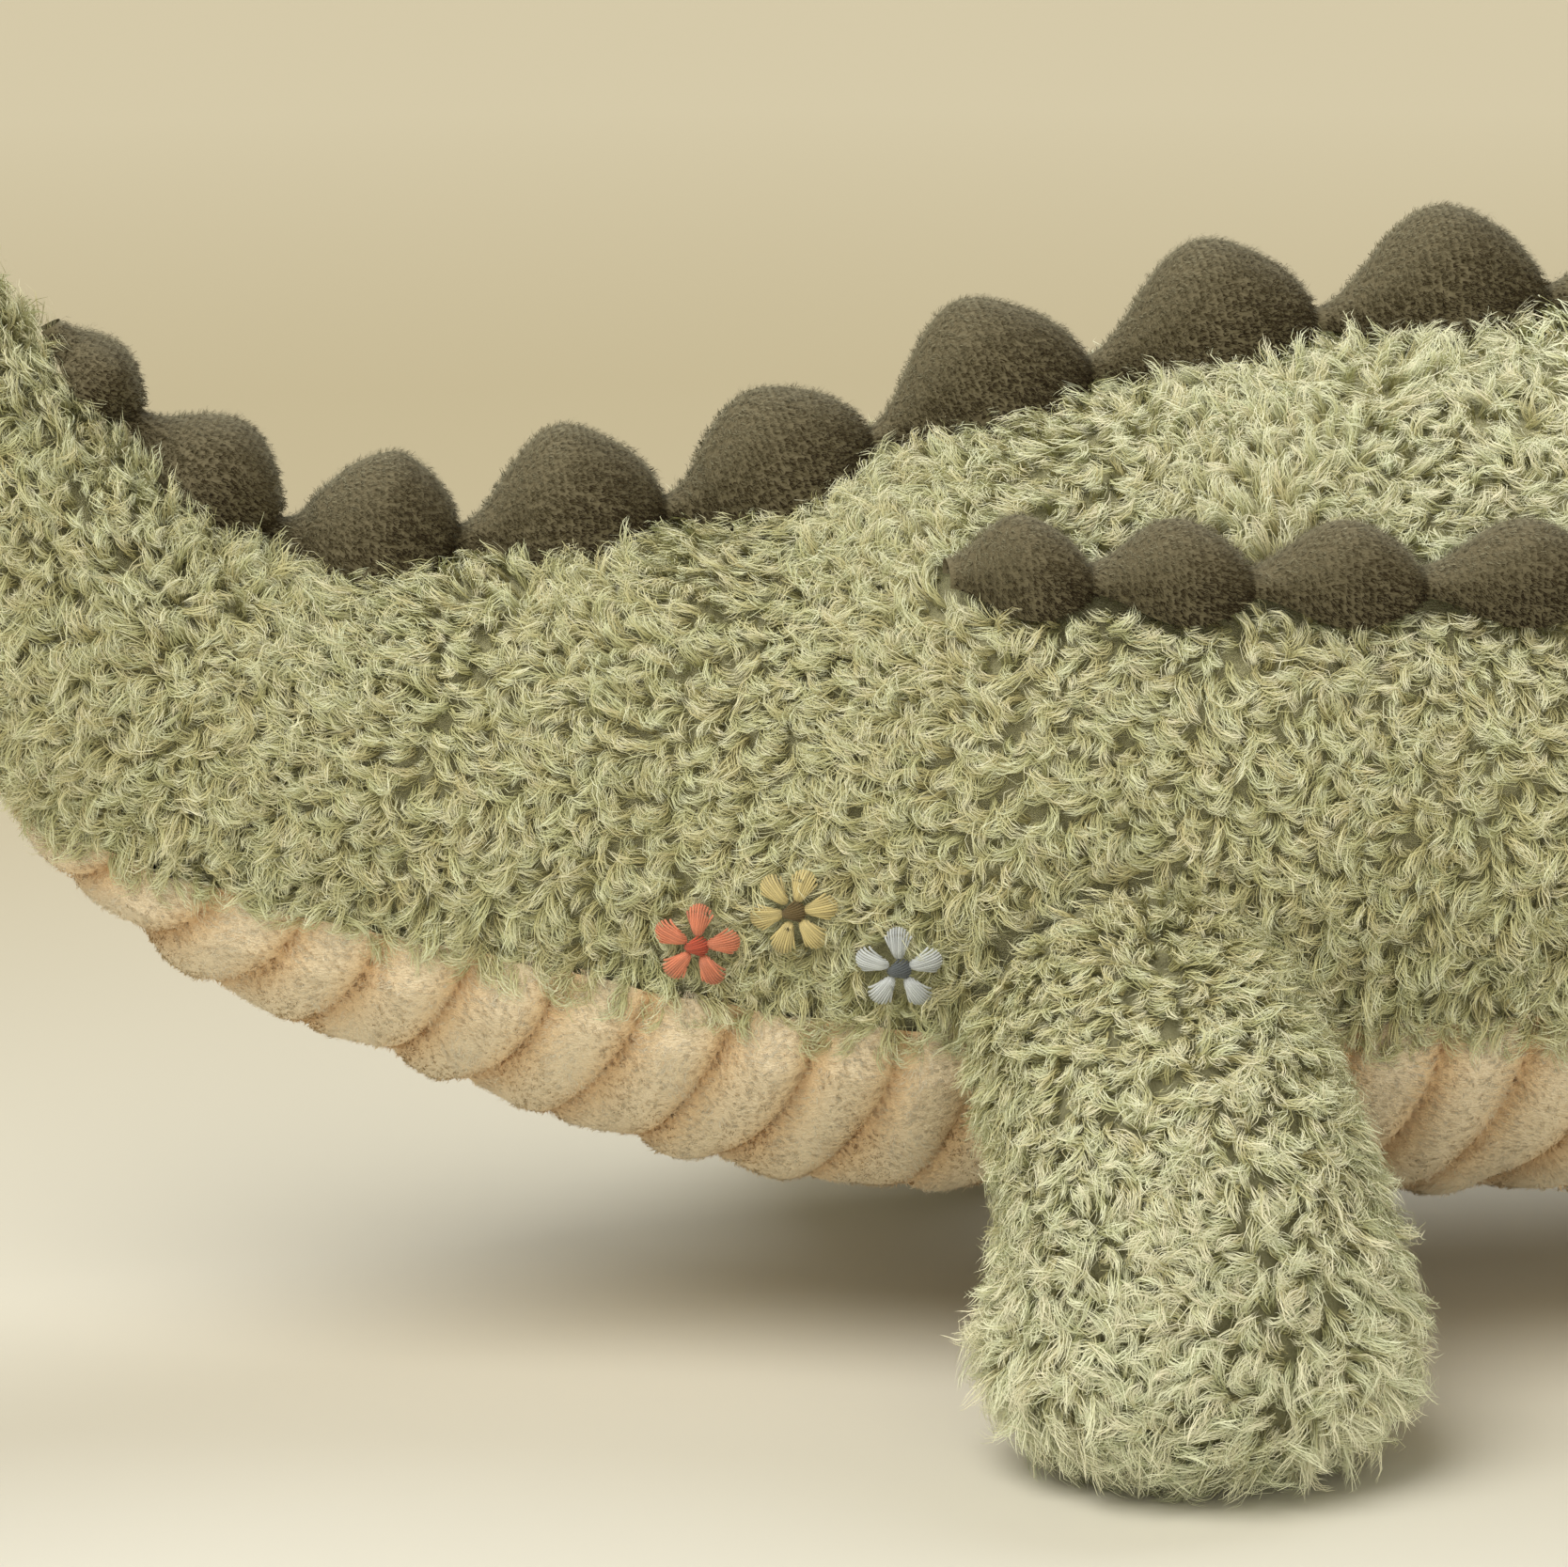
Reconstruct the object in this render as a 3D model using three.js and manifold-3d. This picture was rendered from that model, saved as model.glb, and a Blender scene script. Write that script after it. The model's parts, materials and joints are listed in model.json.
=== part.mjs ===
// Plush crocodile: a stuffed body of curly pile cloth with a ribbed velvet belly, rows of padded
// scutes, four sewn-on legs, button eyes and embroidered flowers on its right flank.
// Millimetres. +X runs from tail to snout, +Y is the toy's left, +Z is up from the floor.
import * as THREE from 'three';
import { mergeVertices } from 'three/addons/utils/BufferGeometryUtils.js';
import Module from 'manifold-3d';

const wasm = await Module();
wasm.setup();

// Driving dimensions of the whole toy
const toyLength = 460;
const backHeight = 116;
const torsoWidth = 110;
const torsoDepth = 103;
const pileThickness = 4;
const seamGap = 0.3;

// Joints: an upright drum of the tail and of the head turns inside the torso's hollowed ends, and
// each leg turns in a shallow pocket. Each flexes by its swing to either side.
const degree = Math.PI / 180;
const tailDrumShare = 0.282;
const neckDrumShare = 0.418;
const tailDrumRadius = tailDrumShare * torsoWidth;
const neckDrumRadius = neckDrumShare * torsoWidth;
const drumClearance = 0.5;
const tailSwing = 15 * degree;
const headSwing = 15 * degree;
const legSwing = 20 * degree;

// Legs
const legRootRadius = 20;
const footLength = 48.5;
const footWidth = 40;
const footRounding = 15;
const footReachShare = 0.6;
const footReach = footReachShare * torsoWidth;
const footAdvance = 3.5;
const legStride = 15;
const pocketClearance = 0.5;
const soleFlat = 0.5;
const footBluntnessShare = 0.7;

// Scutes: stuffed bumps of short-pile cloth with a pinched web between them
const scutePitch = 27;
const scuteHeight = 12;
const scuteWidth = 15;
const sideScutePitch = 20;
const sideScuteHeight = 7.5;
const sideScuteWidth = 10.5;
const sideRowLevelShare = 0.785;
const webHeight = 2;
const webWidth = 5;
const rowSink = 3;
const thinPitchShare = 0.55;
const fullHeightShare = 0.43;
const heightTaper = 3.5;
const flankTaper = 1.5;
const shortestBumpShare = 0.5;
const scuteLean = 1.25;
const tailSideRoundness = 1.5;
const headSideRoundness = 0.7;
const turnShare = 0.25;

// Face
const tailTipRounding = 9;
const snoutRounding = 15;
const moundRadius = 14;
const moundSink = 3;
const eyeRadius = 5.5;
const eyeBulge = 3.6;
const shankRadius = 1.8;
const shankLength = 7;
const washerRadius = 5;
const washerThickness = 1.4;
const washerDepth = 4;
const eyeTilt = 71 * degree;
const eyeTurn = 58 * degree;
const nostrilLength = 6;
const nostrilWidth = 3.4;

// Embroidery: raised satin stitching
const stitchRelief = 1;
const flowerRadius = 4.6;
const flowerEye = 1.3;
const notchShare = 0.62;
const petalBulgeShare = 1.22;
const petalFlareShare = 0.08;
const petalCounts = { coral: 5, straw: 6, pale: 5 };

// The tools that cut a piece reach past the whole toy
const reach = 2 * toyLength;

// Body stations from tail to snout. Each row gives the place along the length as a share of it,
// the height of the centre as a share of the back's height, the half width and half depth as
// shares of the torso's, and how far the belly seam runs below the centre as a share of the half
// depth: past 1 there is no belly cloth.
const stationShares = [
  [0.018, 1.3, 0.145, 0.17, 1.25],
  [0.035, 1.07, 0.236, 0.26, 1.2],
  [0.067, 0.823, 0.327, 0.36, 1.1],
  [0.1, 0.668, 0.4, 0.416, 0.95],
  [0.139, 0.56, 0.475, 0.51, 0.47],
  [0.185, 0.519, 0.555, 0.607, 0.38],
  [0.23, 0.495, 0.655, 0.708, 0.365],
  [0.274, 0.486, 0.773, 0.794, 0.37],
  [0.326, 0.513, 0.909, 0.9, 0.4],
  [0.396, 0.541, 0.982, 0.975, 0.42],
  [0.467, 0.551, 1, 1, 0.42],
  [0.554, 0.541, 0.982, 0.975, 0.42],
  [0.635, 0.524, 0.909, 0.92, 0.42],
  [0.713, 0.509, 0.8, 0.816, 0.42],
  [0.775, 0.491, 0.836, 0.786, 0.38],
  [0.82, 0.453, 0.745, 0.718, 0.3],
  [0.874, 0.388, 0.56, 0.57, 0.2],
  [0.928, 0.349, 0.505, 0.465, 0.18],
  [0.966, 0.345, 0.5, 0.43, 0.18],
];
const lastStation = stationShares.length - 1;

// Places along the body, as shares of its run of stations
const tailHingeShare = 4.85 / lastStation;
const neckHingeShare = 13.1 / lastStation;
const hindHipShare = 8 / lastStation;
const frontHipShare = 11.9 / lastStation;
const scuteAnchorShare = 9.06 / lastStation;
const firstScuteShare = 1.55 / lastStation;
const lastScuteShare = 14 / lastStation;
const sideRowShares = [7.55 / lastStation, 12.1 / lastStation];
const moundShare = 14.7 / lastStation;
const nostrilShare = 17.7 / lastStation;
const flowerShares = [6.02 / lastStation, 6.5 / lastStation, 7.02 / lastStation];

// Angles round the body's section, from the top towards the toy's right
const hipAngle = 112 * degree;
const moundAngle = 33 * degree;
const nostrilAngle = 28 * degree;
const flowerAngles = [99 * degree, 91 * degree, 99 * degree];

// How finely round stretches are drawn
const bodySides = 18;
const ringsPerStation = 1.5;
const endRings = 3;
const drumSides = 32;
const legSides = 12;
const legRings = 5;
const footRings = 3;
const ringsPerScute = 6;
const rowSides = 4;
const petalSides = 3;
const stepsPerStation = 100;

const cloth = {
  curlyPile: new THREE.MeshStandardMaterial({ color: 0xa5a77d, roughness: 1, metalness: 0 }),
  ribbedVelvet: new THREE.MeshStandardMaterial({ color: 0xdec39b, roughness: 0.9, metalness: 0 }),
  shortPile: new THREE.MeshStandardMaterial({ color: 0x5a5140, roughness: 0.95, metalness: 0 }),
  polyesterFibre: new THREE.MeshStandardMaterial({ color: 0xf0efe9, roughness: 1, metalness: 0 }),
  coralThread: new THREE.MeshStandardMaterial({ color: 0xe0714a, roughness: 0.6, metalness: 0 }),
  strawThread: new THREE.MeshStandardMaterial({ color: 0xcdb562, roughness: 0.6, metalness: 0 }),
  paleThread: new THREE.MeshStandardMaterial({ color: 0xc9d0d6, roughness: 0.6, metalness: 0 }),
  darkThread: new THREE.MeshStandardMaterial({ color: 0x3e3427, roughness: 0.6, metalness: 0 }),
};
const plastic = {
  glossyBlack: new THREE.MeshStandardMaterial({ color: 0x17130f, roughness: 0.15, metalness: 0 }),
  white: new THREE.MeshStandardMaterial({ color: 0xe9e7e0, roughness: 0.5, metalness: 0 }),
};

const root = new THREE.Group();
const upright = new THREE.Vector3(0, 0, 1);
const between = THREE.MathUtils.lerp;

// Solids from three.js geometry, and back

function solidOf(geometry) {
  const bare = geometry.clone();
  bare.deleteAttribute('normal');
  bare.deleteAttribute('uv');
  const merged = mergeVertices(bare);
  const vertProperties = new Float32Array(merged.attributes.position.array);
  const triVerts = new Uint32Array(merged.index.array);
  return new wasm.Manifold(new wasm.Mesh({ numProp: 3, vertProperties, triVerts }));
}

function geometryOf(solid) {
  const mesh = solid.getMesh();
  const geometry = new THREE.BufferGeometry();
  geometry.setAttribute('position', new THREE.BufferAttribute(mesh.vertProperties, 3));
  geometry.setIndex(new THREE.BufferAttribute(mesh.triVerts, 1));
  geometry.computeVertexNormals();
  return geometry;
}

function addPiece(name, solid, material) {
  const piece = new THREE.Mesh(geometryOf(solid), material);
  piece.name = name;
  root.add(piece);
}

// Closes rings of points into one skin. Each ring runs anticlockwise seen from the last ring.
function closedLoft(rings, firstPoint, lastPoint) {
  const count = rings[0].length;
  const points = [firstPoint, ...rings.flat(), lastPoint];
  const lastPointIndex = points.length - 1;
  const lastRing = rings.length - 1;
  const at = (ring, side) => 1 + ring * count + (side % count);
  const faces = [];
  for (let side = 0; side < count; side++) {
    faces.push(0, at(0, side + 1), at(0, side));
    for (let ring = 0; ring < lastRing; ring++) {
      faces.push(at(ring, side), at(ring, side + 1), at(ring + 1, side + 1));
      faces.push(at(ring, side), at(ring + 1, side + 1), at(ring + 1, side));
    }
    faces.push(lastPointIndex, at(lastRing, side), at(lastRing, side + 1));
  }
  const geometry = new THREE.BufferGeometry().setFromPoints(points);
  geometry.setIndex(faces);
  return geometry;
}

// Turns a piece modelled along +Y to face a direction, and moves its origin to a point
function aimed(geometry, point, direction) {
  const turn = new THREE.Quaternion().setFromUnitVectors(new THREE.Vector3(0, 1, 0), direction);
  return geometry.applyQuaternion(turn).translate(point.x, point.y, point.z);
}

function mirroredAcross(solid) {
  const geometry = geometryOf(solid).scale(1, -1, 1);
  const faces = geometry.index.array;
  for (let i = 0; i < faces.length; i += 3) {
    [faces[i + 1], faces[i + 2]] = [faces[i + 2], faces[i + 1]];
  }
  return solidOf(geometry);
}

// The body's own form: a spine with an oval section that swells and tapers along it

const centres = stationShares.map(([along, height]) => (
  new THREE.Vector3((along - 0.5) * toyLength, 0, height * backHeight)
));
const sections = stationShares.map(([, , width, depth, seam]) => (
  new THREE.Vector3((width * torsoWidth) / 2, (depth * torsoDepth) / 2, (seam * torsoDepth) / 2)
));
const spine = new THREE.CatmullRomCurve3(centres, false, 'centripetal');
const girth = new THREE.CatmullRomCurve3(sections, false, 'centripetal');

function frameAt(share) {
  const along = spine.getTangent(share);
  const section = girth.getPoint(share);
  return {
    centre: spine.getPoint(share),
    along,
    up: new THREE.Vector3(-along.z, 0, along.x),
    right: new THREE.Vector3(0, -1, 0),
    halfWidth: section.x,
    halfDepth: section.y,
    seamDrop: (section.z * section.y * 2) / torsoDepth,
  };
}

function sectionPoint(frame, angle, halfWidth, halfDepth, shift) {
  return frame.centre.clone()
    .addScaledVector(frame.right, Math.sin(angle) * halfWidth)
    .addScaledVector(frame.up, Math.cos(angle) * halfDepth)
    .addScaledVector(frame.along, shift);
}

// A place on the body's surface, with the way out of it and the ways along and round it
function surfaceAt(share, angle) {
  const frame = frameAt(share);
  const out = new THREE.Vector3()
    .addScaledVector(frame.up, Math.cos(angle) / frame.halfDepth)
    .addScaledVector(frame.right, Math.sin(angle) / frame.halfWidth)
    .normalize();
  const point = sectionPoint(frame, angle, frame.halfWidth, frame.halfDepth, 0);
  const round = new THREE.Vector3().crossVectors(frame.along, out);
  return { point, out, along: frame.along, round, halfDepth: frame.halfDepth };
}

function bodyRing(frame, grow, shrinkShare, shift) {
  const halfWidth = (frame.halfWidth + grow) * shrinkShare;
  const halfDepth = (frame.halfDepth + grow) * shrinkShare;
  const ring = [];
  for (let side = 0; side < bodySides; side++) {
    const angle = (side / bodySides) * 2 * Math.PI;
    ring.push(sectionPoint(frame, angle, halfWidth, halfDepth, shift));
  }
  return ring;
}

// The whole body from tail tip to snout tip, grown outwards or inwards by a set amount
function bodyForm(grow) {
  const tailEnd = frameAt(0);
  const snoutEnd = frameAt(1);
  const tailRounding = tailTipRounding + grow;
  const noseRounding = snoutRounding + grow;
  const rings = [];
  for (let step = endRings - 1; step > 0; step--) {
    const angle = (step / endRings) * 90 * degree;
    rings.push(bodyRing(tailEnd, grow, Math.cos(angle), -tailRounding * Math.sin(angle)));
  }
  const ringCount = lastStation * ringsPerStation;
  for (let step = 0; step <= ringCount; step++) {
    rings.push(bodyRing(frameAt(step / ringCount), grow, 1, 0));
  }
  for (let step = 1; step < endRings; step++) {
    const angle = (step / endRings) * 90 * degree;
    rings.push(bodyRing(snoutEnd, grow, Math.cos(angle), noseRounding * Math.sin(angle)));
  }
  const tailTip = sectionPoint(tailEnd, 0, 0, 0, -tailRounding);
  const snoutTip = sectionPoint(snoutEnd, 0, 0, 0, noseRounding);
  return solidOf(closedLoft(rings, tailTip, snoutTip));
}

// The space under the belly seam, with its upper face moved up or down by a set amount
function underSeam(lift) {
  const corners = (frame, shift) => {
    const seam = lift - frame.seamDrop;
    const floor = -torsoDepth;
    return [[torsoWidth, seam], [-torsoWidth, seam], [-torsoWidth, floor], [torsoWidth, floor]]
      .map(([left, height]) => frame.centre.clone()
        .addScaledVector(frame.right, -left)
        .addScaledVector(frame.up, height)
        .addScaledVector(frame.along, shift));
  };
  const ringCount = lastStation * ringsPerStation;
  const rings = [corners(frameAt(0), -tailTipRounding)];
  for (let step = 0; step <= ringCount; step++) {
    rings.push(corners(frameAt(step / ringCount), 0));
  }
  rings.push(corners(frameAt(1), 2 * snoutRounding));
  const middleOf = (ring) => ring[0].clone().add(ring[2]).multiplyScalar(1 / 2);
  return solidOf(closedLoft(rings, middleOf(rings[0]), middleOf(rings[rings.length - 1])));
}

// Everything past a hinge: an upright drum round its axis, and the space beyond
function pastHinge(share, drumRadius, way) {
  const x = spine.getPoint(share).x;
  const drum = new THREE.CylinderGeometry(drumRadius, drumRadius, reach, drumSides);
  const beyond = new THREE.BoxGeometry(reach, reach, reach);
  drum.rotateX(90 * degree).translate(x, 0, 0);
  beyond.translate(x + (way * reach) / 2, 0, 0);
  return solidOf(drum).add(solidOf(beyond));
}

const outerForm = bodyForm(0);
const bodyClearance = bodyForm(seamGap);
const liningForm = bodyForm(-pileThickness);
const fillingForm = bodyForm(-pileThickness - seamGap);
const tailSide = pastHinge(tailHingeShare, tailDrumRadius, -1);
const headSide = pastHinge(neckHingeShare, neckDrumRadius, 1);
const tailSideClear = pastHinge(tailHingeShare, tailDrumRadius + drumClearance, -1);
const headSideClear = pastHinge(neckHingeShare, neckDrumRadius + drumClearance, 1);
const torsoPart = (solid) => solid.subtract(tailSideClear).subtract(headSideClear);
const tailPart = (solid) => solid.intersect(tailSide);
const headPart = (solid) => solid.intersect(headSide);

// Legs: a stuffed stub that leaves the flank square to it and bends down to a flattened sole

function hipAt(share) {
  const seat = surfaceAt(share, hipAngle);
  const rim = legRootRadius + pocketClearance;
  const crown = Math.min(torsoWidth, torsoDepth) / 2;
  const depth = crown - Math.sqrt(crown * crown - rim * rim) + pocketClearance;
  return { floor: seat.point.clone().addScaledVector(seat.out, -depth), axis: seat.out, depth };
}

// A leg runs straight out of its pocket and then bends. The lead takes its root further in.
function legForm(hip, grow, lead) {
  const rim = hip.floor.clone().addScaledVector(hip.axis, hip.depth);
  const straight = hip.depth - seamGap + lead;
  const rounding = footRounding + grow;
  const foot = new THREE.Vector3(hip.floor.x + footAdvance, -footReach, footRounding - soleFlat);
  const path = new THREE.CubicBezierCurve3(
    rim,
    rim.clone().addScaledVector(hip.axis, legStride),
    foot.clone().addScaledVector(upright, legStride),
    foot,
  );
  const ringAt = (share, shrinkShare, shift) => {
    const along = path.getTangent(share);
    const forward = new THREE.Vector3(1, 0, 0).addScaledVector(along, -along.x).normalize();
    const sideways = new THREE.Vector3().crossVectors(along, forward);
    const swell = share * share;
    const lengthwise = (between(legRootRadius, footLength / 2, swell) + grow) * shrinkShare;
    const crosswise = (between(legRootRadius, footWidth / 2, swell) + grow) * shrinkShare;
    const ring = [];
    for (let side = 0; side < legSides; side++) {
      const angle = (side / legSides) * 2 * Math.PI;
      ring.push(path.getPoint(share)
        .addScaledVector(forward, Math.cos(angle) * lengthwise)
        .addScaledVector(sideways, Math.sin(angle) * crosswise)
        .addScaledVector(along, shift));
    }
    return ring;
  };
  const rings = [ringAt(0, 1, -straight)];
  for (let step = 0; step <= legRings; step++) {
    rings.push(ringAt(step / legRings, 1, 0));
  }
  for (let step = 1; step <= footRings; step++) {
    const angle = (step / (footRings + 1)) * 90 * degree;
    rings.push(ringAt(1, Math.cos(angle) ** footBluntnessShare, rounding * Math.sin(angle)));
  }
  const rootMiddle = rim.clone().addScaledVector(hip.axis, -straight);
  return solidOf(closedLoft(rings, rootMiddle, foot.clone().addScaledVector(upright, -rounding)));
}

function hipPocket(hip) {
  const radius = legRootRadius + pocketClearance;
  const pocket = new THREE.CylinderGeometry(radius, radius, torsoWidth, drumSides);
  return solidOf(aimed(pocket.translate(0, torsoWidth / 2, 0), hip.floor, hip.axis));
}

const hips = { hind: hipAt(hindHipShare), front: hipAt(frontHipShare) };
const nearPockets = hipPocket(hips.hind).add(hipPocket(hips.front));
const hipPockets = nearPockets.add(mirroredAcross(nearPockets));

function addLegs() {
  const floorBox = new THREE.BoxGeometry(reach, reach, reach).translate(0, 0, -reach / 2);
  const underFloor = solidOf(floorBox);
  for (const [place, hip] of Object.entries(hips)) {
    const hollow = legForm(hip, -pileThickness, legRootRadius);
    const skin = legForm(hip, 0, 0).subtract(hollow).subtract(underFloor);
    const filling = legForm(hip, -pileThickness - seamGap, 0);
    addPiece(`leg_${place}_right_skin`, skin, cloth.curlyPile);
    addPiece(`leg_${place}_right_filling`, filling, cloth.polyesterFibre);
    addPiece(`leg_${place}_left_skin`, mirroredAcross(skin), cloth.curlyPile);
    addPiece(`leg_${place}_left_filling`, mirroredAcross(filling), cloth.polyesterFibre);
  }
}

// Body, belly and filling: cloth sewn along the belly seam round a core of fibre

function addBody() {
  const shell = outerForm.subtract(liningForm);
  const backCloth = shell.subtract(underSeam(seamGap / 2));
  const bellyCloth = shell.intersect(underSeam(-seamGap / 2));
  addPiece('torso_skin', torsoPart(backCloth).subtract(hipPockets), cloth.curlyPile);
  addPiece('torso_belly_panel', torsoPart(bellyCloth).subtract(hipPockets), cloth.ribbedVelvet);
  addPiece('torso_filling', torsoPart(fillingForm).subtract(hipPockets), cloth.polyesterFibre);
  addPiece('tail_skin', tailPart(backCloth), cloth.curlyPile);
  addPiece('tail_belly_panel', tailPart(bellyCloth), cloth.ribbedVelvet);
  addPiece('tail_filling', tailPart(fillingForm), cloth.polyesterFibre);
  addPiece('head_skin', headPart(backCloth), cloth.curlyPile);
  addPiece('head_throat_panel', headPart(bellyCloth), cloth.ribbedVelvet);
  addPiece('head_filling', headPart(fillingForm), cloth.polyesterFibre);
}

// Scutes

// The angles that the rows run at: one along the top, and one level with the floor on each flank
const spineAngle = () => 0;
const flankAngle = (share) => {
  const { centre, halfDepth } = frameAt(share);
  return Math.acos((sideRowLevelShare * backHeight - centre.z) / halfDepth);
};

// The next place along a row, a set distance on along the body's surface
function advance(share, angleAt, distance, way) {
  const step = way / (lastStation * stepsPerStation);
  let travelled = 0;
  let here = surfaceAt(share, angleAt(share)).point;
  while (travelled < distance && share + step >= 0 && share + step <= 1) {
    share += step;
    const next = surfaceAt(share, angleAt(share)).point;
    travelled += next.distanceTo(here);
    here = next;
  }
  return share;
}

const fullness = (share) => frameAt(share).halfDepth / (torsoDepth / 2);
const growth = (share) => Math.min(1, fullness(share) / fullHeightShare) ** heightTaper;
const spinePitch = (share) => scutePitch * between(thinPitchShare, 1, fullness(share));
const spineHeight = (share) => scuteHeight * growth(share);
const flankPitch = (share) => sideScutePitch * fullness(share) ** flankTaper;

function lengthBetween(start, end, angleAt) {
  const steps = Math.ceil((end - start) * lastStation * stepsPerStation);
  let length = 0;
  let here = surfaceAt(start, angleAt(start)).point;
  for (let step = 1; step <= steps; step++) {
    const share = between(start, end, step / steps);
    const next = surfaceAt(share, angleAt(share)).point;
    length += next.distanceTo(here);
    here = next;
  }
  return length;
}

// One ring of a row: an arch over the body's surface with its foot sunk below it
function rowRing(share, angleAt, out, height, width) {
  const { point, along } = surfaceAt(share, angleAt(share));
  const round = new THREE.Vector3().crossVectors(along, out).normalize();
  const ring = [];
  for (let side = 0; side <= rowSides; side++) {
    const lean = (side / rowSides - 0.5) * 180 * degree;
    ring.push(point.clone()
      .addScaledVector(out, Math.cos(lean) * height)
      .addScaledVector(round, (Math.sin(lean) * width) / 2));
  }
  for (const way of [1, -1]) {
    ring.push(point.clone().addScaledVector(out, -rowSink).addScaledVector(round, (way * width) / 2));
  }
  return ring;
}

// A row of bumps between neighbouring valleys, seated on the body's outer surface. Each bump has
// one height and stands square to the line between its two valleys.
function scuteRow(valleys, angleAt, heightAt, width) {
  const rings = [];
  for (let bump = 0; bump < valleys.length - 1; bump++) {
    const [start, end] = valleys.slice(bump, bump + 2);
    const length = lengthBetween(start, end, angleAt);
    const crest = heightAt(advance(start, angleAt, length / 2, 1));
    const [first, last] = [start, end].map((place) => surfaceAt(place, angleAt(place)));
    const chord = last.point.clone().sub(first.point).normalize();
    const upright = first.out.clone().add(last.out);
    upright.addScaledVector(chord, -upright.dot(chord)).normalize();
    const isLast = bump === valleys.length - 2;
    for (let step = 0; step < ringsPerScute + (isLast ? 1 : 0); step++) {
      const part = step / ringsPerScute;
      const share = advance(start, angleAt, length * part, 1);
      const turned = Math.min(1, part / turnShare, (1 - part) / turnShare);
      const out = (part < 1 / 2 ? first : last).out.clone().lerp(upright, turned).normalize();
      const roundness = between(tailSideRoundness, headSideRoundness, part);
      const swell = Math.sin(part ** scuteLean * Math.PI) ** roundness;
      const height = between(webHeight, crest, swell);
      rings.push(rowRing(share, angleAt, out, height, between(webWidth, width, swell)));
    }
  }
  const endAt = (share) => surfaceAt(share, angleAt(share)).point;
  const row = closedLoft(rings, endAt(valleys[0]), endAt(valleys[valleys.length - 1]));
  return solidOf(row).subtract(bodyClearance);
}

// The valleys of a row from its start to its end, where the last bump takes up what is left
function valleysOf(start, end, angleAt, pitchAt) {
  const way = Math.sign(end - start);
  const onwards = (place, pitches) => advance(place, angleAt, pitchAt(place) * pitches, way);
  const valleys = [start];
  let next = onwards(start, 1);
  while ((end - onwards(next, shortestBumpShare)) * way > 0) {
    valleys.push(next);
    next = onwards(next, 1);
  }
  return [...valleys, end];
}

function addScutes() {
  const towardsTail = valleysOf(scuteAnchorShare, firstScuteShare, spineAngle, spinePitch).reverse();
  const towardsHead = valleysOf(scuteAnchorShare, lastScuteShare, spineAngle, spinePitch);
  const spineValleys = [...towardsTail, ...towardsHead.slice(1)];
  const spineRow = scuteRow(spineValleys, spineAngle, spineHeight, scuteWidth);
  addPiece('scute_strip_tail', tailPart(spineRow), cloth.shortPile);
  addPiece('scute_strip_back', torsoPart(spineRow), cloth.shortPile);
  addPiece('scute_strip_neck', headPart(spineRow), cloth.shortPile);
  const flankValleys = valleysOf(sideRowShares[0], sideRowShares[1], flankAngle, flankPitch);
  const flankRow = scuteRow(flankValleys, flankAngle, () => sideScuteHeight, sideScuteWidth);
  addPiece('side_scutes_right', flankRow, cloth.shortPile);
  addPiece('side_scutes_left', mirroredAcross(flankRow), cloth.shortPile);
}

// Eyes: a button with a shank, locked by a washer inside a stuffed mound on the brow

const eyeAim = new THREE.Vector3().setFromSphericalCoords(1, eyeTilt, eyeTurn);
eyeAim.set(eyeAim.z, -eyeAim.x, eyeAim.y);

function revolved(profile) {
  const points = profile.map(([radius, height]) => new THREE.Vector2(radius, height));
  return new THREE.LatheGeometry(points, legSides);
}

function eyeButton(origin) {
  const dome = [];
  for (let step = 0; step <= endRings; step++) {
    const angle = (step / endRings) * 90 * degree;
    dome.push([eyeRadius * Math.cos(angle), eyeBulge * Math.sin(angle)]);
  }
  dome[endRings][0] = 0;
  const profile = [[0, -shankLength], [shankRadius, -shankLength], [shankRadius, 0], ...dome];
  return solidOf(aimed(revolved(profile), origin, eyeAim));
}

function eyeSocket(origin) {
  const hole = shankRadius + seamGap;
  const seat = eyeRadius + seamGap;
  const pocket = washerRadius + seamGap;
  const pocketTop = -washerDepth + seamGap;
  const pocketFloor = -washerDepth - washerThickness - seamGap;
  const profile = [
    [0, -shankLength - seamGap], [hole, -shankLength - seamGap],
    [hole, pocketFloor], [pocket, pocketFloor], [pocket, pocketTop], [hole, pocketTop],
    [hole, -seamGap], [seat, -seamGap], [seat, moundRadius], [0, moundRadius],
  ];
  return solidOf(aimed(revolved(profile), origin, eyeAim));
}

function eyeWasher(origin) {
  const bore = shankRadius + seamGap;
  const profile = [
    [bore, -washerDepth - washerThickness], [washerRadius, -washerDepth - washerThickness],
    [washerRadius, -washerDepth], [bore, -washerDepth], [bore, -washerDepth - washerThickness],
  ];
  return solidOf(aimed(revolved(profile), origin, eyeAim));
}

function addEyes() {
  const brow = surfaceAt(moundShare, moundAngle);
  const centre = brow.point.clone().addScaledVector(brow.out, -moundSink);
  const ball = new THREE.SphereGeometry(moundRadius, legSides, legSides / 2);
  const origin = centre.clone().addScaledVector(eyeAim, moundRadius - eyeBulge / 2);
  const mound = solidOf(ball.translate(centre.x, centre.y, centre.z))
    .subtract(bodyClearance)
    .subtract(eyeSocket(origin));
  for (const [side, placed] of [['right', (solid) => solid], ['left', mirroredAcross]]) {
    addPiece(`eye_mound_${side}`, placed(mound), cloth.curlyPile);
    addPiece(`eye_${side}`, placed(eyeButton(origin)), plastic.glossyBlack);
    addPiece(`eye_washer_${side}`, placed(eyeWasher(origin)), plastic.white);
  }
}

// Embroidery: raised stitching that follows the cloth it lies on

const stitchedLayer = bodyForm(seamGap + stitchRelief).subtract(bodyClearance);

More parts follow.
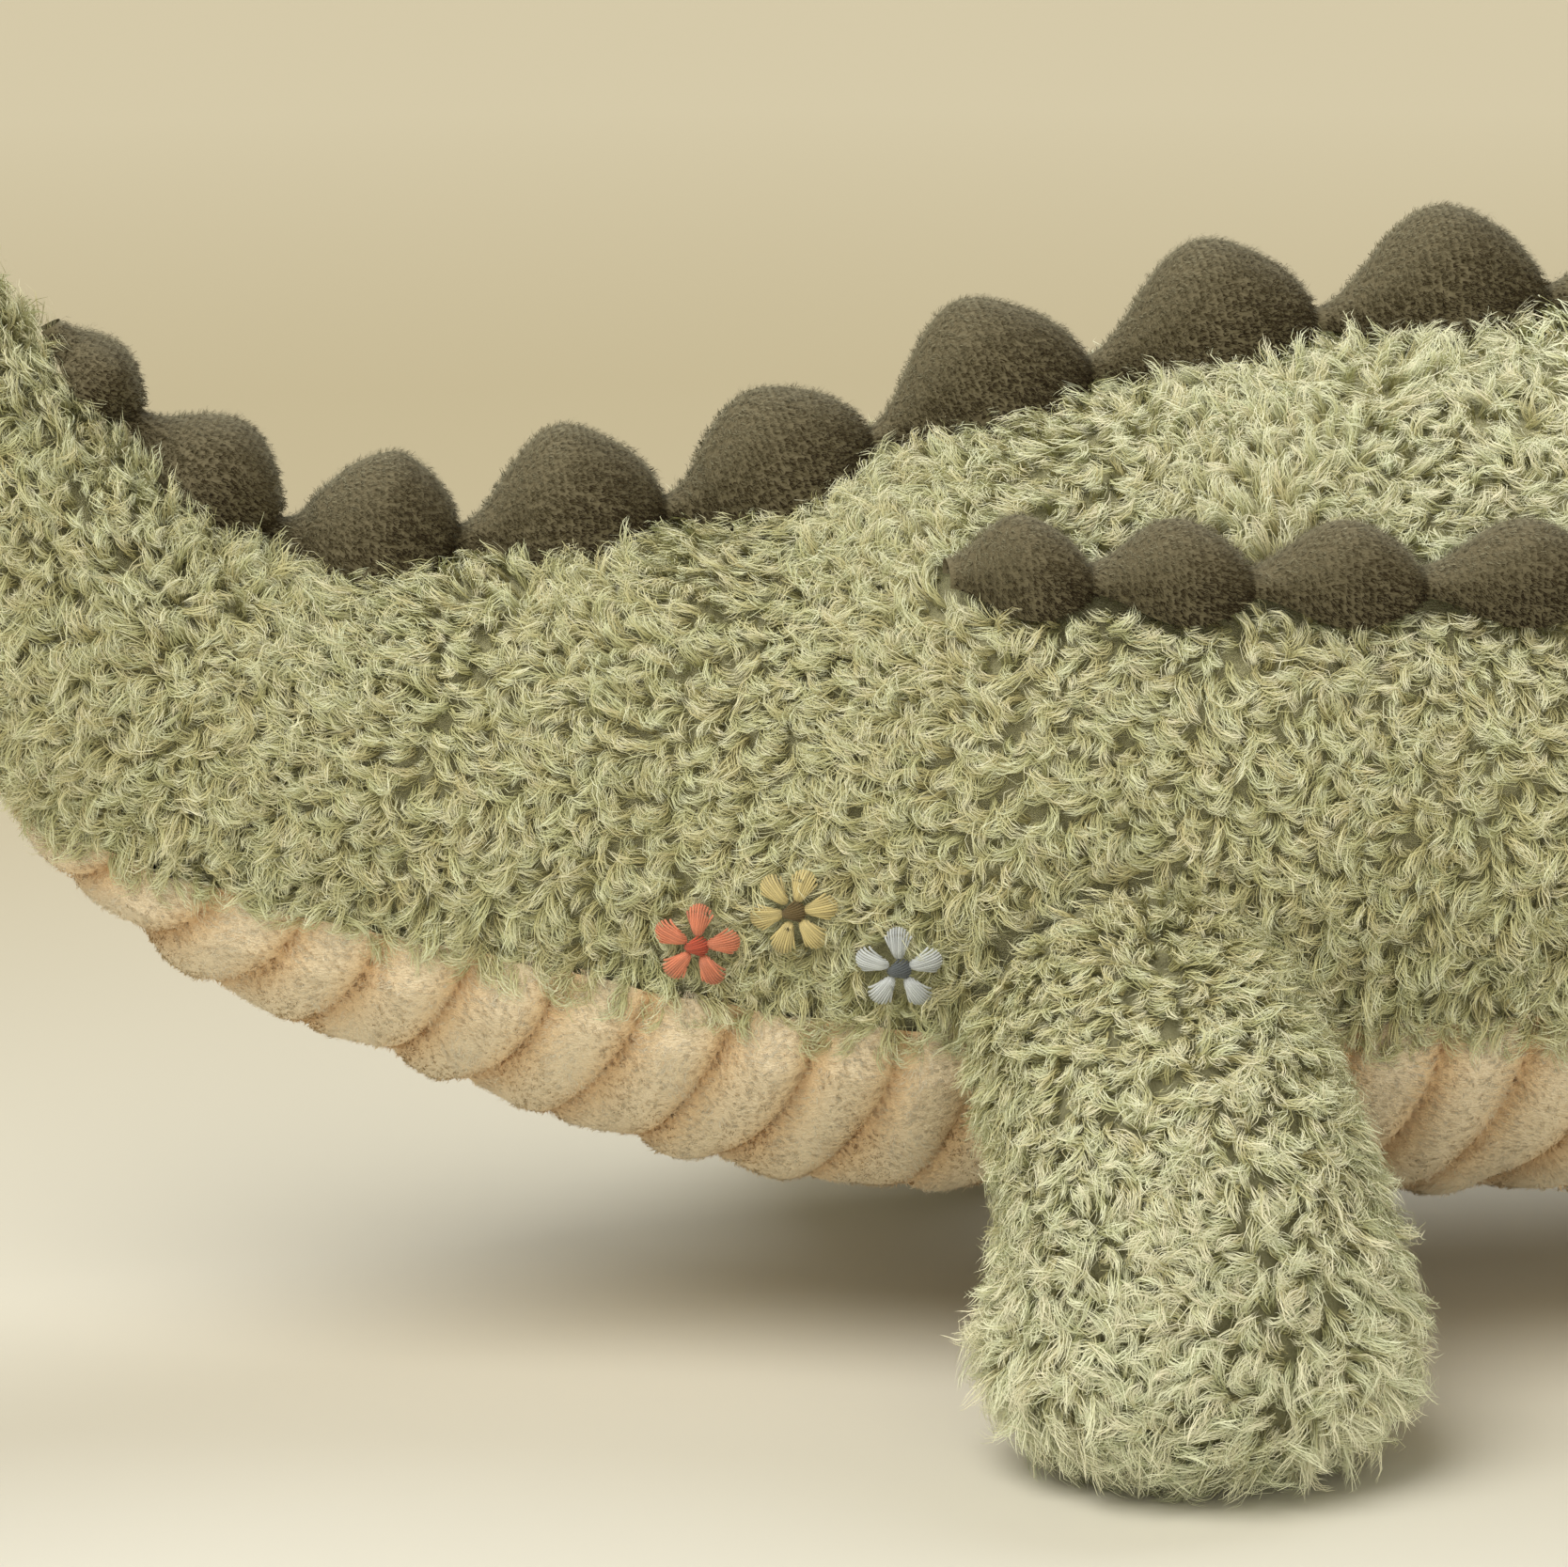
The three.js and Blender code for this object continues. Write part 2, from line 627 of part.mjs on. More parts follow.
function stitched(share, angle, outline) {
  const { point, out, along } = surfaceAt(share, angle);
  const depth = 2 * flowerRadius;
  const cut = { depth, bevelEnabled: false, curveSegments: petalSides };
  const punch = new THREE.ExtrudeGeometry(outline, cut);
  const basis = new THREE.Matrix4().makeBasis(along, new THREE.Vector3().crossVectors(out, along), out);
  punch.translate(0, 0, -depth / 2).applyMatrix4(basis).translate(point.x, point.y, point.z);
  return stitchedLayer.intersect(solidOf(punch));
}

// Round petals with a notch between neighbours
function flowerOutline(petals) {
  const outline = new THREE.Shape();
  const notch = flowerRadius * notchShare;
  const bulge = flowerRadius * petalBulgeShare;
  const place = (radius, turn) => [radius * Math.cos(turn), radius * Math.sin(turn)];
  outline.moveTo(...place(notch, 0));
  for (let petal = 0; petal < petals; petal++) {
    const turnOf = (part) => ((petal + part) / petals) * 2 * Math.PI;
    const rising = place(bulge, turnOf(petalFlareShare));
    const falling = place(bulge, turnOf(1 - petalFlareShare));
    outline.bezierCurveTo(...rising, ...falling, ...place(notch, turnOf(1)));
  }
  const eye = new THREE.Path();
  eye.absarc(0, 0, flowerEye, 0, 2 * Math.PI, true);
  outline.holes.push(eye);
  return outline;
}

function addEmbroidery() {
  const oval = new THREE.Shape();
  oval.absellipse(0, 0, nostrilLength / 2, nostrilWidth / 2, 0, 2 * Math.PI);
  const nostril = stitched(nostrilShare, nostrilAngle, oval);
  addPiece('nostril_right', nostril, cloth.darkThread);
  addPiece('nostril_left', mirroredAcross(nostril), cloth.darkThread);
  const threads = { coral: cloth.coralThread, straw: cloth.strawThread, pale: cloth.paleThread };
  Object.entries(threads).forEach(([name, thread], index) => {
    const outline = flowerOutline(petalCounts[name]);
    const flower = stitched(flowerShares[index], flowerAngles[index], outline);
    addPiece(`flower_${name}`, flower, thread);
  });
}

addBody();
addLegs();
addScutes();
addEyes();
addEmbroidery();

// The origin is on the floor, under the middle of the toy's length
const extent = new THREE.Box3().setFromObject(root);
root.position.x = -(extent.min.x + extent.max.x) / 2;

// Where each sewn joint flexes, in the group's own frame: a point on its axis, the axis and the
// angle it gives each way
const joint = (point, axis, swing) => ({ point: point.clone().add(root.position), axis, swing });
root.userData.joints = {
  tail: joint(spine.getPoint(tailHingeShare), upright, tailSwing),
  head: joint(spine.getPoint(neckHingeShare), upright, headSwing),
};
for (const [place, hip] of Object.entries(hips)) {
  const across = new THREE.Vector3(1, -1, 1);
  root.userData.joints[`leg_${place}_right`] = joint(hip.floor, hip.axis, legSwing);
  const [point, axis] = [hip.floor, hip.axis].map((vector) => vector.clone().multiply(across));
  root.userData.joints[`leg_${place}_left`] = joint(point, axis, legSwing);
}

export default root;
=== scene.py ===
import math

import bpy
import numpy as np
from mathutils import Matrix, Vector, kdtree
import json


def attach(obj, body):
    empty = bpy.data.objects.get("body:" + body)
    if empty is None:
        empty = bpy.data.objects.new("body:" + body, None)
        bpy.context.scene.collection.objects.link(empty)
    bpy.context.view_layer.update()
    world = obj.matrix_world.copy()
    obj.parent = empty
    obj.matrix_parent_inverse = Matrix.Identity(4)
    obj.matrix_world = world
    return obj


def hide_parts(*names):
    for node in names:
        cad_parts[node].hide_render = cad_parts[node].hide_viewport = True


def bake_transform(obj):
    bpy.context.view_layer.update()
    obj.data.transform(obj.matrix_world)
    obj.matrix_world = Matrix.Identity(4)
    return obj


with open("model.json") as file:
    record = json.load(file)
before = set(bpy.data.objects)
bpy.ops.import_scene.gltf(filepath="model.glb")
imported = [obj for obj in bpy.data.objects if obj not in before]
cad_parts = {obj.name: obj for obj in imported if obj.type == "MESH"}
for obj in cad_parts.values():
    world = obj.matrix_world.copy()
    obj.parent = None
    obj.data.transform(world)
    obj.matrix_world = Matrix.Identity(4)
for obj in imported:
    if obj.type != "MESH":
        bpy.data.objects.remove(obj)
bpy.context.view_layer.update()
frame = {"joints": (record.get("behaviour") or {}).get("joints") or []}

# Camera: a long lens a little behind the right hind leg and a little above the back, so that the
# tail's bend fills the left of the picture and the torso runs out of its right edge.
camera_azimuth = math.radians(-8)
camera_elevation = math.radians(12)
camera_distance = 0.690
camera_target = Vector((-0.1094, 0, 0.0615))
lens_in_millimetres = 139.2

camera_data = bpy.data.cameras.new("camera")
camera_data.lens = lens_in_millimetres
camera = bpy.data.objects.new("camera", camera_data)
camera_back = Vector((
    math.sin(camera_azimuth) * math.cos(camera_elevation),
    -math.cos(camera_azimuth) * math.cos(camera_elevation),
    math.sin(camera_elevation),
))
camera.location = camera_target + camera_back * camera_distance
camera.rotation_euler = camera_back.to_track_quat("Z", "Y").to_euler()
bpy.context.scene.collection.objects.link(camera)
bpy.context.scene.camera = camera


# Body form: every cloth of the body follows one swelling tube on a bent spine, the same form that
# the solids have. The spine is set by the tail's hinge.
toy_length = 0.460
back_height = 0.116
torso_width = 0.110
torso_depth = 0.103
tail_tip_rounding = 0.009
snout_rounding = 0.015
tail_hinge_station = 4.85
# Each station gives the place along the length, the centre's height, half width and half depth as
# shares of the driving sizes, and the belly seam's drop as a share of the half depth
station_shares = np.array([
    [0.018, 1.3, 0.145, 0.17, 1.25],
    [0.035, 1.07, 0.236, 0.26, 1.2],
    [0.067, 0.823, 0.327, 0.36, 1.1],
    [0.1, 0.668, 0.4, 0.416, 0.95],
    [0.139, 0.56, 0.475, 0.51, 0.47],
    [0.185, 0.519, 0.555, 0.607, 0.38],
    [0.23, 0.495, 0.655, 0.708, 0.365],
    [0.274, 0.486, 0.773, 0.794, 0.37],
    [0.326, 0.513, 0.909, 0.9, 0.4],
    [0.396, 0.541, 0.982, 0.975, 0.42],
    [0.467, 0.551, 1, 1, 0.42],
    [0.554, 0.541, 0.982, 0.975, 0.42],
    [0.635, 0.524, 0.909, 0.92, 0.42],
    [0.713, 0.509, 0.8, 0.816, 0.42],
    [0.775, 0.491, 0.836, 0.786, 0.38],
    [0.82, 0.453, 0.745, 0.718, 0.3],
    [0.874, 0.388, 0.56, 0.57, 0.2],
    [0.928, 0.349, 0.505, 0.465, 0.18],
    [0.966, 0.345, 0.5, 0.43, 0.18],
])
last_station = len(station_shares) - 1
spine_row = (1.55 / last_station, 14 / last_station)
side_row = (7.55 / last_station, 12.1 / last_station)
side_row_level_share = 0.785
flower_places = {
    "coral": (6.02 / last_station, math.radians(99)),
    "straw": (6.5 / last_station, math.radians(91)),
    "pale": (7.02 / last_station, math.radians(99)),
}
to_right = np.array([0, -1, 0])
shortest_length = 1e-12
spine_step_share = 1e-4
surface_step_share = 1e-3
joints = {joint["name"]: joint for joint in frame["joints"]}


def unit(vectors):
    lengths = np.linalg.norm(vectors, axis=-1, keepdims=True)
    return vectors / np.maximum(lengths, shortest_length)


# A centripetal Catmull-Rom curve through the points, at shares from 0 to 1
def curve(points, share):
    ends = (2 * points[0] - points[1], 2 * points[-1] - points[-2])
    points = np.vstack([ends[0], points, ends[1]])
    run = np.clip(share, 0, 1) * (len(points) - 3)
    index = np.minimum(run.astype(int), len(points) - 4)
    part = (run - index)[:, None]
    a, b, c, d = (points[index + step] for step in range(4))
    gap_a, gap_b, gap_c = (
        np.sqrt(np.linalg.norm(high - low, axis=1, keepdims=True))
        for low, high in ((a, b), (b, c), (c, d))
    )
    leave = ((b - a) / gap_a - (c - a) / (gap_a + gap_b) + (c - b) / gap_b) * gap_b
    arrive = ((c - b) / gap_b - (d - b) / (gap_b + gap_c) + (d - c) / gap_c) * gap_b
    square = 3 * (c - b) - 2 * leave - arrive
    cube = 2 * (b - c) + leave + arrive
    return b + part * (leave + part * (square + part * cube))


# The lengths run along a line of points, from 0 at its first
def run_along(line):
    return np.concatenate([[0], np.cumsum(np.linalg.norm(np.diff(line, axis=0), axis=1))])


centres = np.column_stack([
    (station_shares[:, 0] - 0.5) * toy_length,
    np.zeros(len(station_shares)),
    station_shares[:, 1] * back_height,
])
sections = np.column_stack([
    station_shares[:, 2] * torso_width,
    station_shares[:, 3] * torso_depth,
    station_shares[:, 4] * torso_depth,
]) / 2
tail_hinge = np.array(joints["tail_sway"]["pos_m"])
head_hinge = np.array(joints["head_sway"]["pos_m"])
hinge_share = np.array([tail_hinge_station / last_station])
centres[:, 0] += tail_hinge[0] - curve(centres, hinge_share)[0, 0]


# A section of the body: half its width, half its depth and its seam's drop
def section_at(share):
    return curve(sections, np.clip(share, 0, 1))


# The ways along the spine and up from it
def spine_ways(share):
    inner = np.clip(share, 0, 1)
    along = unit(curve(centres, inner + spine_step_share) - curve(centres, inner - spine_step_share))
    return along, np.column_stack([-along[:, 2], along[:, 1], along[:, 0]])


# Points of the body's surface. Shares run from 0 at the tail to 1 at the snout, and a further 1 at
# each end closes the rounded tip. Angles run from the top towards the toy's right.
def body(share, angle, grow=0.0):
    inner = np.clip(share, 0, 1)
    section = section_at(share)
    along, up = spine_ways(share)
    past = (share - inner) * math.pi / 2
    rounding = np.where(past < 0, tail_tip_rounding, snout_rounding) + grow
    wide = (section[:, 0] + grow) * np.cos(past) * np.sin(angle)
    high = (section[:, 1] + grow) * np.cos(past) * np.cos(angle)
    ahead = rounding * np.sin(past)
    return (
        curve(centres, inner)
        + to_right * wide[:, None]
        + up * high[:, None]
        + along * ahead[:, None]
    )


# The way out of the body's oval section, square to its spine
def section_out(share, angle):
    section = section_at(share)
    up = spine_ways(share)[1]
    upward = np.cos(angle) / section[:, 1]
    sideward = np.sin(angle) / section[:, 0]
    return unit(up * upward[:, None] + to_right * sideward[:, None])


# The angle from the top down to the belly seam, a half turn where there is no belly cloth
def seam_angle(share):
    drop = section_at(share)[:, 2] * 2 / torso_depth
    return np.arccos(-np.clip(drop, 0, 1))


# The angle of the side rows, which run level with the floor on each flank
def flank_angle(share):
    lift = side_row_level_share * back_height - curve(centres, np.clip(share, 0, 1))[:, 2]
    return np.arccos(np.clip(lift / section_at(share)[:, 1], -1, 1))


# The way out of a surface, from the ways along it and round it
def facing(surface, share, angle):
    step = surface_step_share
    along = surface(share + step, angle) - surface(share - step, angle)
    around = surface(share, angle + step) - surface(share, angle - step)
    return unit(np.cross(around, along))


# Pile cloth's backing: the ground of olive polyester under the curls, a little inside the solids'
# surface. Its knitted loops give it a dull grainy face. It is made in a rear half and a front half.
pile_depth = 0.0034
backing_rows = 200
backing_columns = 90
backing_overlap = 0.04
middle_share = 9.7 / last_station
tail_bend = 0.022
head_bend = 0.030
loop_depth = 0.0006
# Patterns of noise are counted across the box of the piece that has them
blotches_across = 220
loops_across = 900


# Colours are written as sRGB hex values, and the nodes take them as linear ones
def srgb(code):
    parts = [int(code[start:start + 2], 16) / 255 for start in (1, 3, 5)]
    linear = [part / 12.92 if part <= 0.04045 else ((part + 0.055) / 1.055) ** 2.4 for part in parts]
    return (*linear, 1)


def add_node(tree, kind, links=None, **settings):
    node = tree.nodes.new(kind)
    for name, value in settings.items():
        if hasattr(node, name):
            setattr(node, name, value)
        else:
            node.inputs[name.replace("_", " ")].default_value = value
    for socket, source in (links or {}).items():
        tree.links.new(source, node.inputs[socket])
    return node


def set_ramp(node, stops):
    ramp = node.color_ramp
    while len(ramp.elements) < len(stops):
        ramp.elements.new(1)
    for element, (place, code) in zip(ramp.elements, stops):
        element.position = place
        element.color = srgb(code)


# A material as a node tree round one shader, with the finish of that shader's sockets
def start_material(name, **finish):
    made = bpy.data.materials.new(name)
    made.use_nodes = True
    shader = made.node_tree.nodes["Principled BSDF"]
    for socket, value in finish.items():
        shader.inputs[socket.replace("_", " ")].default_value = value
    return made, made.node_tree, shader


# A mesh piece from points, faces with the same number of corners, and a place in the bake for each
# corner. Layers are values that the material reads at each point.
def make_piece(name, points, face_groups, places, layers, made):
    mesh = bpy.data.meshes.new(name)
    corners = np.concatenate([faces.ravel() for faces in face_groups])
    counts = np.concatenate([np.full(len(faces), faces.shape[1]) for faces in face_groups])
    mesh.vertices.add(len(points))
    mesh.vertices.foreach_set("co", np.asarray(points, np.float32).ravel())
    mesh.loops.add(len(corners))
    mesh.loops.foreach_set("vertex_index", corners.astype(np.int32))
    mesh.polygons.add(len(counts))
    starts = np.concatenate([[0], np.cumsum(counts)[:-1]])
    mesh.polygons.foreach_set("loop_start", starts.astype(np.int32))
    mesh.update(calc_edges=True)
    mesh.shade_smooth()
    bake = mesh.uv_layers.new(name="OFBake")
    bake.data.foreach_set("uv", np.asarray(places, np.float32).ravel())
    for layer, values in layers.items():
        stored = mesh.attributes.new(layer, "FLOAT", "POINT")
        stored.data.foreach_set("value", np.asarray(values, np.float32).ravel())
    mesh.materials.append(made)
    piece = bpy.data.objects.new(name, mesh)
    bpy.context.scene.collection.objects.link(piece)
    return piece


# A cloth drawn over a grid of points, rows by columns
def make_cloth(name, grid, layers, made):
    rows, columns = grid.shape[:2]
    numbers = np.arange(rows * columns).reshape(rows, columns)
    faces = np.stack(
        [numbers[:-1, :-1], numbers[:-1, 1:], numbers[1:, 1:], numbers[1:, :-1]], axis=-1
    ).reshape(-1, 4)
    spots = np.stack(np.meshgrid(
        np.linspace(0, 1, columns), np.linspace(0, 1, rows)
    ), axis=-1).reshape(-1, 2)
    return make_piece(name, grid.reshape(-1, 3), [faces], spots[faces.ravel()], layers, made)


# Shares and angles of a cloth's points, and the points themselves as a grid
def cloth_places(shares, low, high, columns):
    part = np.linspace(0, 1, columns)
    return np.repeat(shares, columns), (low[:, None] + (high - low)[:, None] * part).ravel()


def surface_grid(surface, shares, low, high, columns, **options):
    points = surface(*cloth_places(shares, low, high, columns), **options)
    return points.reshape(len(shares), columns, 3)


def bend_with_tail(piece):
    start, end = tail_hinge.copy(), tail_hinge.copy()
    start[0] += tail_bend
    end[0] -= tail_bend
    tuple(start)
    tuple(end)
    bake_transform(piece)


def bend_with_head(piece):
    start, end = head_hinge.copy(), head_hinge.copy()
    start[0] -= head_bend
    end[0] += head_bend
    tuple(start)
    tuple(end)
    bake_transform(piece)


body_halves = {
    "rear": ((-1, middle_share), bend_with_tail),
    "front": ((middle_share, 2), bend_with_head),
}

backing_cloth, tree, shader = start_material(
    "knitted polyester backing", Roughness=0.95, Specular_IOR_Level=0.1
)
blotches = add_node(tree, "ShaderNodeTexNoise", Scale=blotches_across, Detail=3)
tint = add_node(tree, "ShaderNodeValToRGB", {"Fac": blotches.outputs["Fac"]})
set_ramp(tint, [(0.3, "#B3B28B"), (0.7, "#C8C7A0")])
tree.links.new(tint.outputs["Color"], shader.inputs["Base Color"])
loops = add_node(tree, "ShaderNodeTexVoronoi", Scale=loops_across)
bump = add_node(
    tree, "ShaderNodeBump", {"Height": loops.outputs["Distance"]}, Strength=0.8, Distance=loop_depth
)
tree.links.new(bump.outputs["Normal"], shader.inputs["Normal"])

for half, ((low, high), bend) in body_halves.items():
    shares = np.linspace(low, high, backing_rows)
    edge = seam_angle(shares) + backing_overlap
    grid = surface_grid(body, shares, -edge, edge, backing_columns, grow=-pile_depth)
    piece = make_cloth(f"body_backing_{half}", grid, {}, backing_cloth)
    bend(piece)
    if half == "rear":
        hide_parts("torso_skin", "tail_skin", "torso_filling", "tail_filling")
    else:
        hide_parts("head_skin", "head_filling")


# Curly pile: locks of very fine sage polyester fibre, about 6 mm long, that leave the backing
# together, curl over and taper to a paler tip. A lock is a bundle of narrow ribbons. Over the
# torso's back, where it faces up, and on the feet the locks get a painted highlight.

# A grade gives the spacing and radius of its bundles, the width of their ribbons, how many ribbons
# and steps each has, and how far a ribbon turns to the cloth's way out. What the picture shows
# closely has the close grade.
close_pile = {
    "spacing": 0.0016, "radius": 0.00055, "width": 0.00012, "fibres": 20, "steps": 5, "turned": 0.5,
}
far_pile = {
    "spacing": 0.0025, "radius": 0.00090, "width": 0.00026, "fibres": 10, "steps": 4, "turned": 0.5,
}
pile_length = 0.0058
# Degrees that a bundle stands up from the cloth, least and most, at its root and at its tip, and
# degrees that it curls round
pile_rise = ((40, 85), (-50, 20))
pile_curl = (50, 200)
body_flow = (-0.20, 0, -0.35)
# A lie gives how much the bundles swirl and scatter, and how they close up in clusters
pile_lie = {
    "swirl": 0.6, "patch": 0.009, "scatter": 0.5, "cluster_size": 0.0046, "cluster_pull": 0.5,
}
straw_spread = (0, 1.6)
tone_patches_across = 60
triangles_per_piece = 190000
random_seed = 11
random = np.random.default_rng(random_seed)
swirl_waves = random.normal(size=(2, 3, 3))
swirl_phases = random.uniform(0, 2 * math.pi, size=(2, 1, 3))

curly_pile, tree, shader = start_material(
    "curly polyester pile", Roughness=0.85, Specular_IOR_Level=0.15, Sheen_Weight=0.2,
    Sheen_Roughness=0.5, Sheen_Tint=srgb("#DDE2C0"),
)
tip = add_node(tree, "ShaderNodeAttribute", attribute_name="tip")
tone = add_node(tree, "ShaderNodeAttribute", attribute_name="tone")
green = add_node(tree, "ShaderNodeValToRGB", {"Fac": tip.outputs["Fac"]})
set_ramp(green, [(0, "#AFAF80"), (0.3, "#BBBC8C"), (0.6, "#C6CA9E"), (0.85, "#D5DBB8"), (1, "#E5EBCE")])
straw = add_node(tree, "ShaderNodeValToRGB", {"Fac": tip.outputs["Fac"]})
set_ramp(straw, [(0, "#B0A879"), (0.3, "#BEB685"), (0.6, "#CCC599"), (0.85, "#DAD5B2"), (1, "#EAE6CC")])
patches = add_node(tree, "ShaderNodeTexNoise", Scale=tone_patches_across, Detail=2)
share_of_straw = add_node(
    tree, "ShaderNodeMath", {0: tone.outputs["Fac"], 1: patches.outputs["Fac"]}, operation="MULTIPLY"
)
blend_tones = add_node(tree, "ShaderNodeMix", {
    "Factor": share_of_straw.outputs[0], 6: green.outputs["Color"], 7: straw.outputs["Color"],
}, data_type="RGBA")
tree.links.new(blend_tones.outputs[2], shader.inputs["Base Color"])

# How closely a surface is measured before places are set on it
sampled_rows = 600
sampled_lines = 5
sampled_columns = 49
row_stagger_share = 0.5


# Even jittered places over a surface, row by row, between two edges. Every second row is staggered.
def places_on(surface, shares, edges, spacing, jitter=1.0):
    fine = np.linspace(*shares, sampled_rows)
    low, high = edges(fine)
    lines = [surface(fine, low + (high - low) * part) for part in np.linspace(0, 1, sampled_lines)]
    steps = np.max([np.linalg.norm(np.diff(line, axis=0), axis=1) for line in lines], axis=0)
    run = np.concatenate([[0], np.cumsum(steps)])
    found = []
    for number, row in enumerate(np.arange(spacing / 2, run[-1], spacing)):
        share = np.interp(row, run, fine)
        first, last = (edge[0] for edge in edges(np.array([share])))
        ring = np.linspace(first, last, sampled_columns)
        around = run_along(surface(np.full(sampled_columns, share), ring))
        count = int(around[-1] / spacing)
        if count:
            chance = random.uniform(-0.5, 0.5, (2, count)) * jitter
            stagger = row_stagger_share * (0.5 + number % 2)
            spots = (np.arange(count) + stagger + chance[0]) / count * around[-1]
            drift = row + chance[1] * spacing
            found.append(np.column_stack([np.interp(drift, run, fine), np.interp(spots, around, ring)]))
    return np.concatenate(found).T


# The way that each tuft leans along the cloth: the nap's own flow, smooth swirls, some chance, and
# a pull towards the middle of its cluster, so that neighbouring tufts close up and part from others
def leaning(roots, outs, flow, spacing, swirl, patch, scatter, cluster_size, cluster_pull):
    swirls = sum(np.sin(roots @ waves / patch + phase) for waves, phase in zip(swirl_waves, swirl_phases))
    ways = np.asarray(flow) + swirl * swirls + scatter * random.normal(size=roots.shape)
    count = max(1, round(len(roots) * (spacing / cluster_size) ** 2))
    middles = random.choice(roots, count, replace=False)
    nearby = kdtree.KDTree(count)
    for number, middle in enumerate(middles):
        nearby.insert(middle, number)
    nearby.balance()
    nearest = middles[[nearby.find(root)[1] for root in roots]]
    ways = ways + cluster_pull * (nearest - roots) / cluster_size
    return unit(ways - outs * np.sum(ways * outs, axis=1, keepdims=True))


# How far bundles and ribbons differ from each other. A bundle swells from its root, closes at its
# tip and is wavy, and its loose ribbons stand away from it.
length_spread = (0.7, 1.15)
stretch_spread = (0.65, 1.1)
core_share = 0.03
twist_spread = 1.2
upper_twist_share = 0.6
curl_delay = 1.4
root_swell_share = 0.8
middle_swell_share = 0.6
closing_power = 3
closing_bluntness = 0.8
tip_swell_share = 0.30
loose_rarity = 2.5
loose_swell_share = 2.8
wave_swell_share = 0.22
wave_run = 6
wave_turn = 0.5
wave_turn_run = 7
taper_share = 0.4


# Bundles of ribbons as arrays of points. Each ribbon faces out of its bundle and is turned by a share
# towards the cloth's own way out. A few ribbons stray from their bundle, and all are wavy.
def tuft_points(roots, outs, leans, length, rise, curl, grade):
    count, fibres, steps = len(roots), grade["fibres"], grade["steps"]
    sides = np.cross(outs, leans)
    lengths = length * random.uniform(*length_spread, (count, 1))
    start_rise, end_rise = (np.radians(random.uniform(*limits, (count, 1))) for limits in rise)
    turning = np.radians(random.uniform(*curl, (count, 1))) * random.choice([-1, 1], (count, 1))
    turn = random.uniform(-math.pi, math.pi, (count, fibres))
    twist = random.normal(0, twist_spread, (count, 1))
    upper = np.sign(np.sin(turn + upper_twist_share * twist))[..., None]
    reach = np.sqrt(random.uniform(core_share, 1, (count, fibres))) * grade["radius"]
    stretch = random.uniform(*stretch_spread, (count, fibres, 1))
    loose = random.uniform(0, 1, (count, fibres)) ** loose_rarity
    wave = random.uniform(0, 2 * math.pi, (2, count, fibres))
    path = np.zeros((count, 3))
    points = []
    for step in range(steps + 1):
        part = step / steps
        bearing = turning * part ** curl_delay
        ahead = np.cos(bearing) * leans + np.sin(bearing) * sides
        across = np.cos(bearing) * sides - np.sin(bearing) * leans
        lift = start_rise + (end_rise - start_rise) * part
        heading = np.cos(lift) * ahead + np.sin(lift) * outs
        over = np.cross(heading, across)
        closing = (1 - part ** closing_power) ** closing_bluntness
        swell = (root_swell_share + middle_swell_share * part) * closing
        swell = swell + tip_swell_share * part + loose_swell_share * loose * part
        swell = swell + wave_swell_share * np.sin(wave[0] + wave_run * part)
        phase = (turn + twist * part + wave_turn * np.sin(wave[1] + wave_turn_run * part))[..., None]
        spread = (reach * swell)[..., None]
        away = np.cos(phase) * across[:, None] + np.sin(phase) * over[:, None]
        middle = roots[:, None] + path[:, None] * stretch + spread * away
        if step < steps:
            front = away * upper * (1 - grade["turned"]) + outs[:, None] * grade["turned"]
            half = unit(np.cross(heading[:, None], front)) * grade["width"] / 2 * (1 - taper_share * part)
            points += [middle - half, middle + half]
            path = path + heading * lengths / steps
        else:
            points.append(middle)
    return np.stack(points, axis=2)


bake_margin_share = 0.05
ribbon_sides_share = (0.1, 0.9)
tip_spread = 0.13
pile_tone_spread = 0.12


# Makes tufts into pieces of at most triangles_per_piece triangles, each ribbon with its own cell of the
# bake
def make_tufts(name, points, tones, made, painted_light=0, tone_spread=pile_tone_spread):
    count, fibres, each = points.shape[:3]
    steps = (each - 1) // 2
    tips = np.append(np.repeat(np.arange(steps) / steps, 2), 1)
    tones = tones[:, None, None] + random.normal(0, tone_spread, (count, fibres, 1))
    # Tips shift at random, and are lifted further by a painted highlight where one is given
    tip_spread_and_painted_light = random.normal(0, tip_spread, (count, fibres, 1)) + np.reshape(painted_light, (-1, 1, 1))
    quad = np.array([[2 * step, 2 * step + 1, 2 * step + 3, 2 * step + 2] for step in range(steps - 1)])
    end = np.array([[2 * steps - 2, 2 * steps - 1, 2 * steps]])
    within = np.column_stack([
        np.append(np.tile(ribbon_sides_share, steps), 0.5),
        bake_margin_share + (1 - 2 * bake_margin_share) * tips,
    ])
    batches = math.ceil(count * fibres * (2 * steps - 1) / triangles_per_piece)
    pieces = []
    for number, batch in enumerate(np.array_split(np.arange(count), batches)):
        ribbons = len(batch) * fibres
        first = np.arange(ribbons)[:, None, None] * each
        face_groups = [(first + quad).reshape(-1, 4), (first + end).reshape(-1, 3)]
        corners = np.concatenate([faces.ravel() for faces in face_groups])
        grid = math.ceil(math.sqrt(ribbons))
        cell = np.column_stack([np.arange(ribbons) % grid, np.arange(ribbons) // grid])
        spots = ((cell[:, None] + within) / grid).reshape(-1, 2)
        layers = {
            "tip": np.clip(tips + tip_spread_and_painted_light[batch], 0, 1),
            "tone": np.broadcast_to(tones[batch], (len(batch), fibres, each)),
        }
        pieces.append(make_piece(
            f"{name}_{number + 1}", points[batch].reshape(-1, 3), face_groups, spots[corners], layers, made
        ))
    return pieces


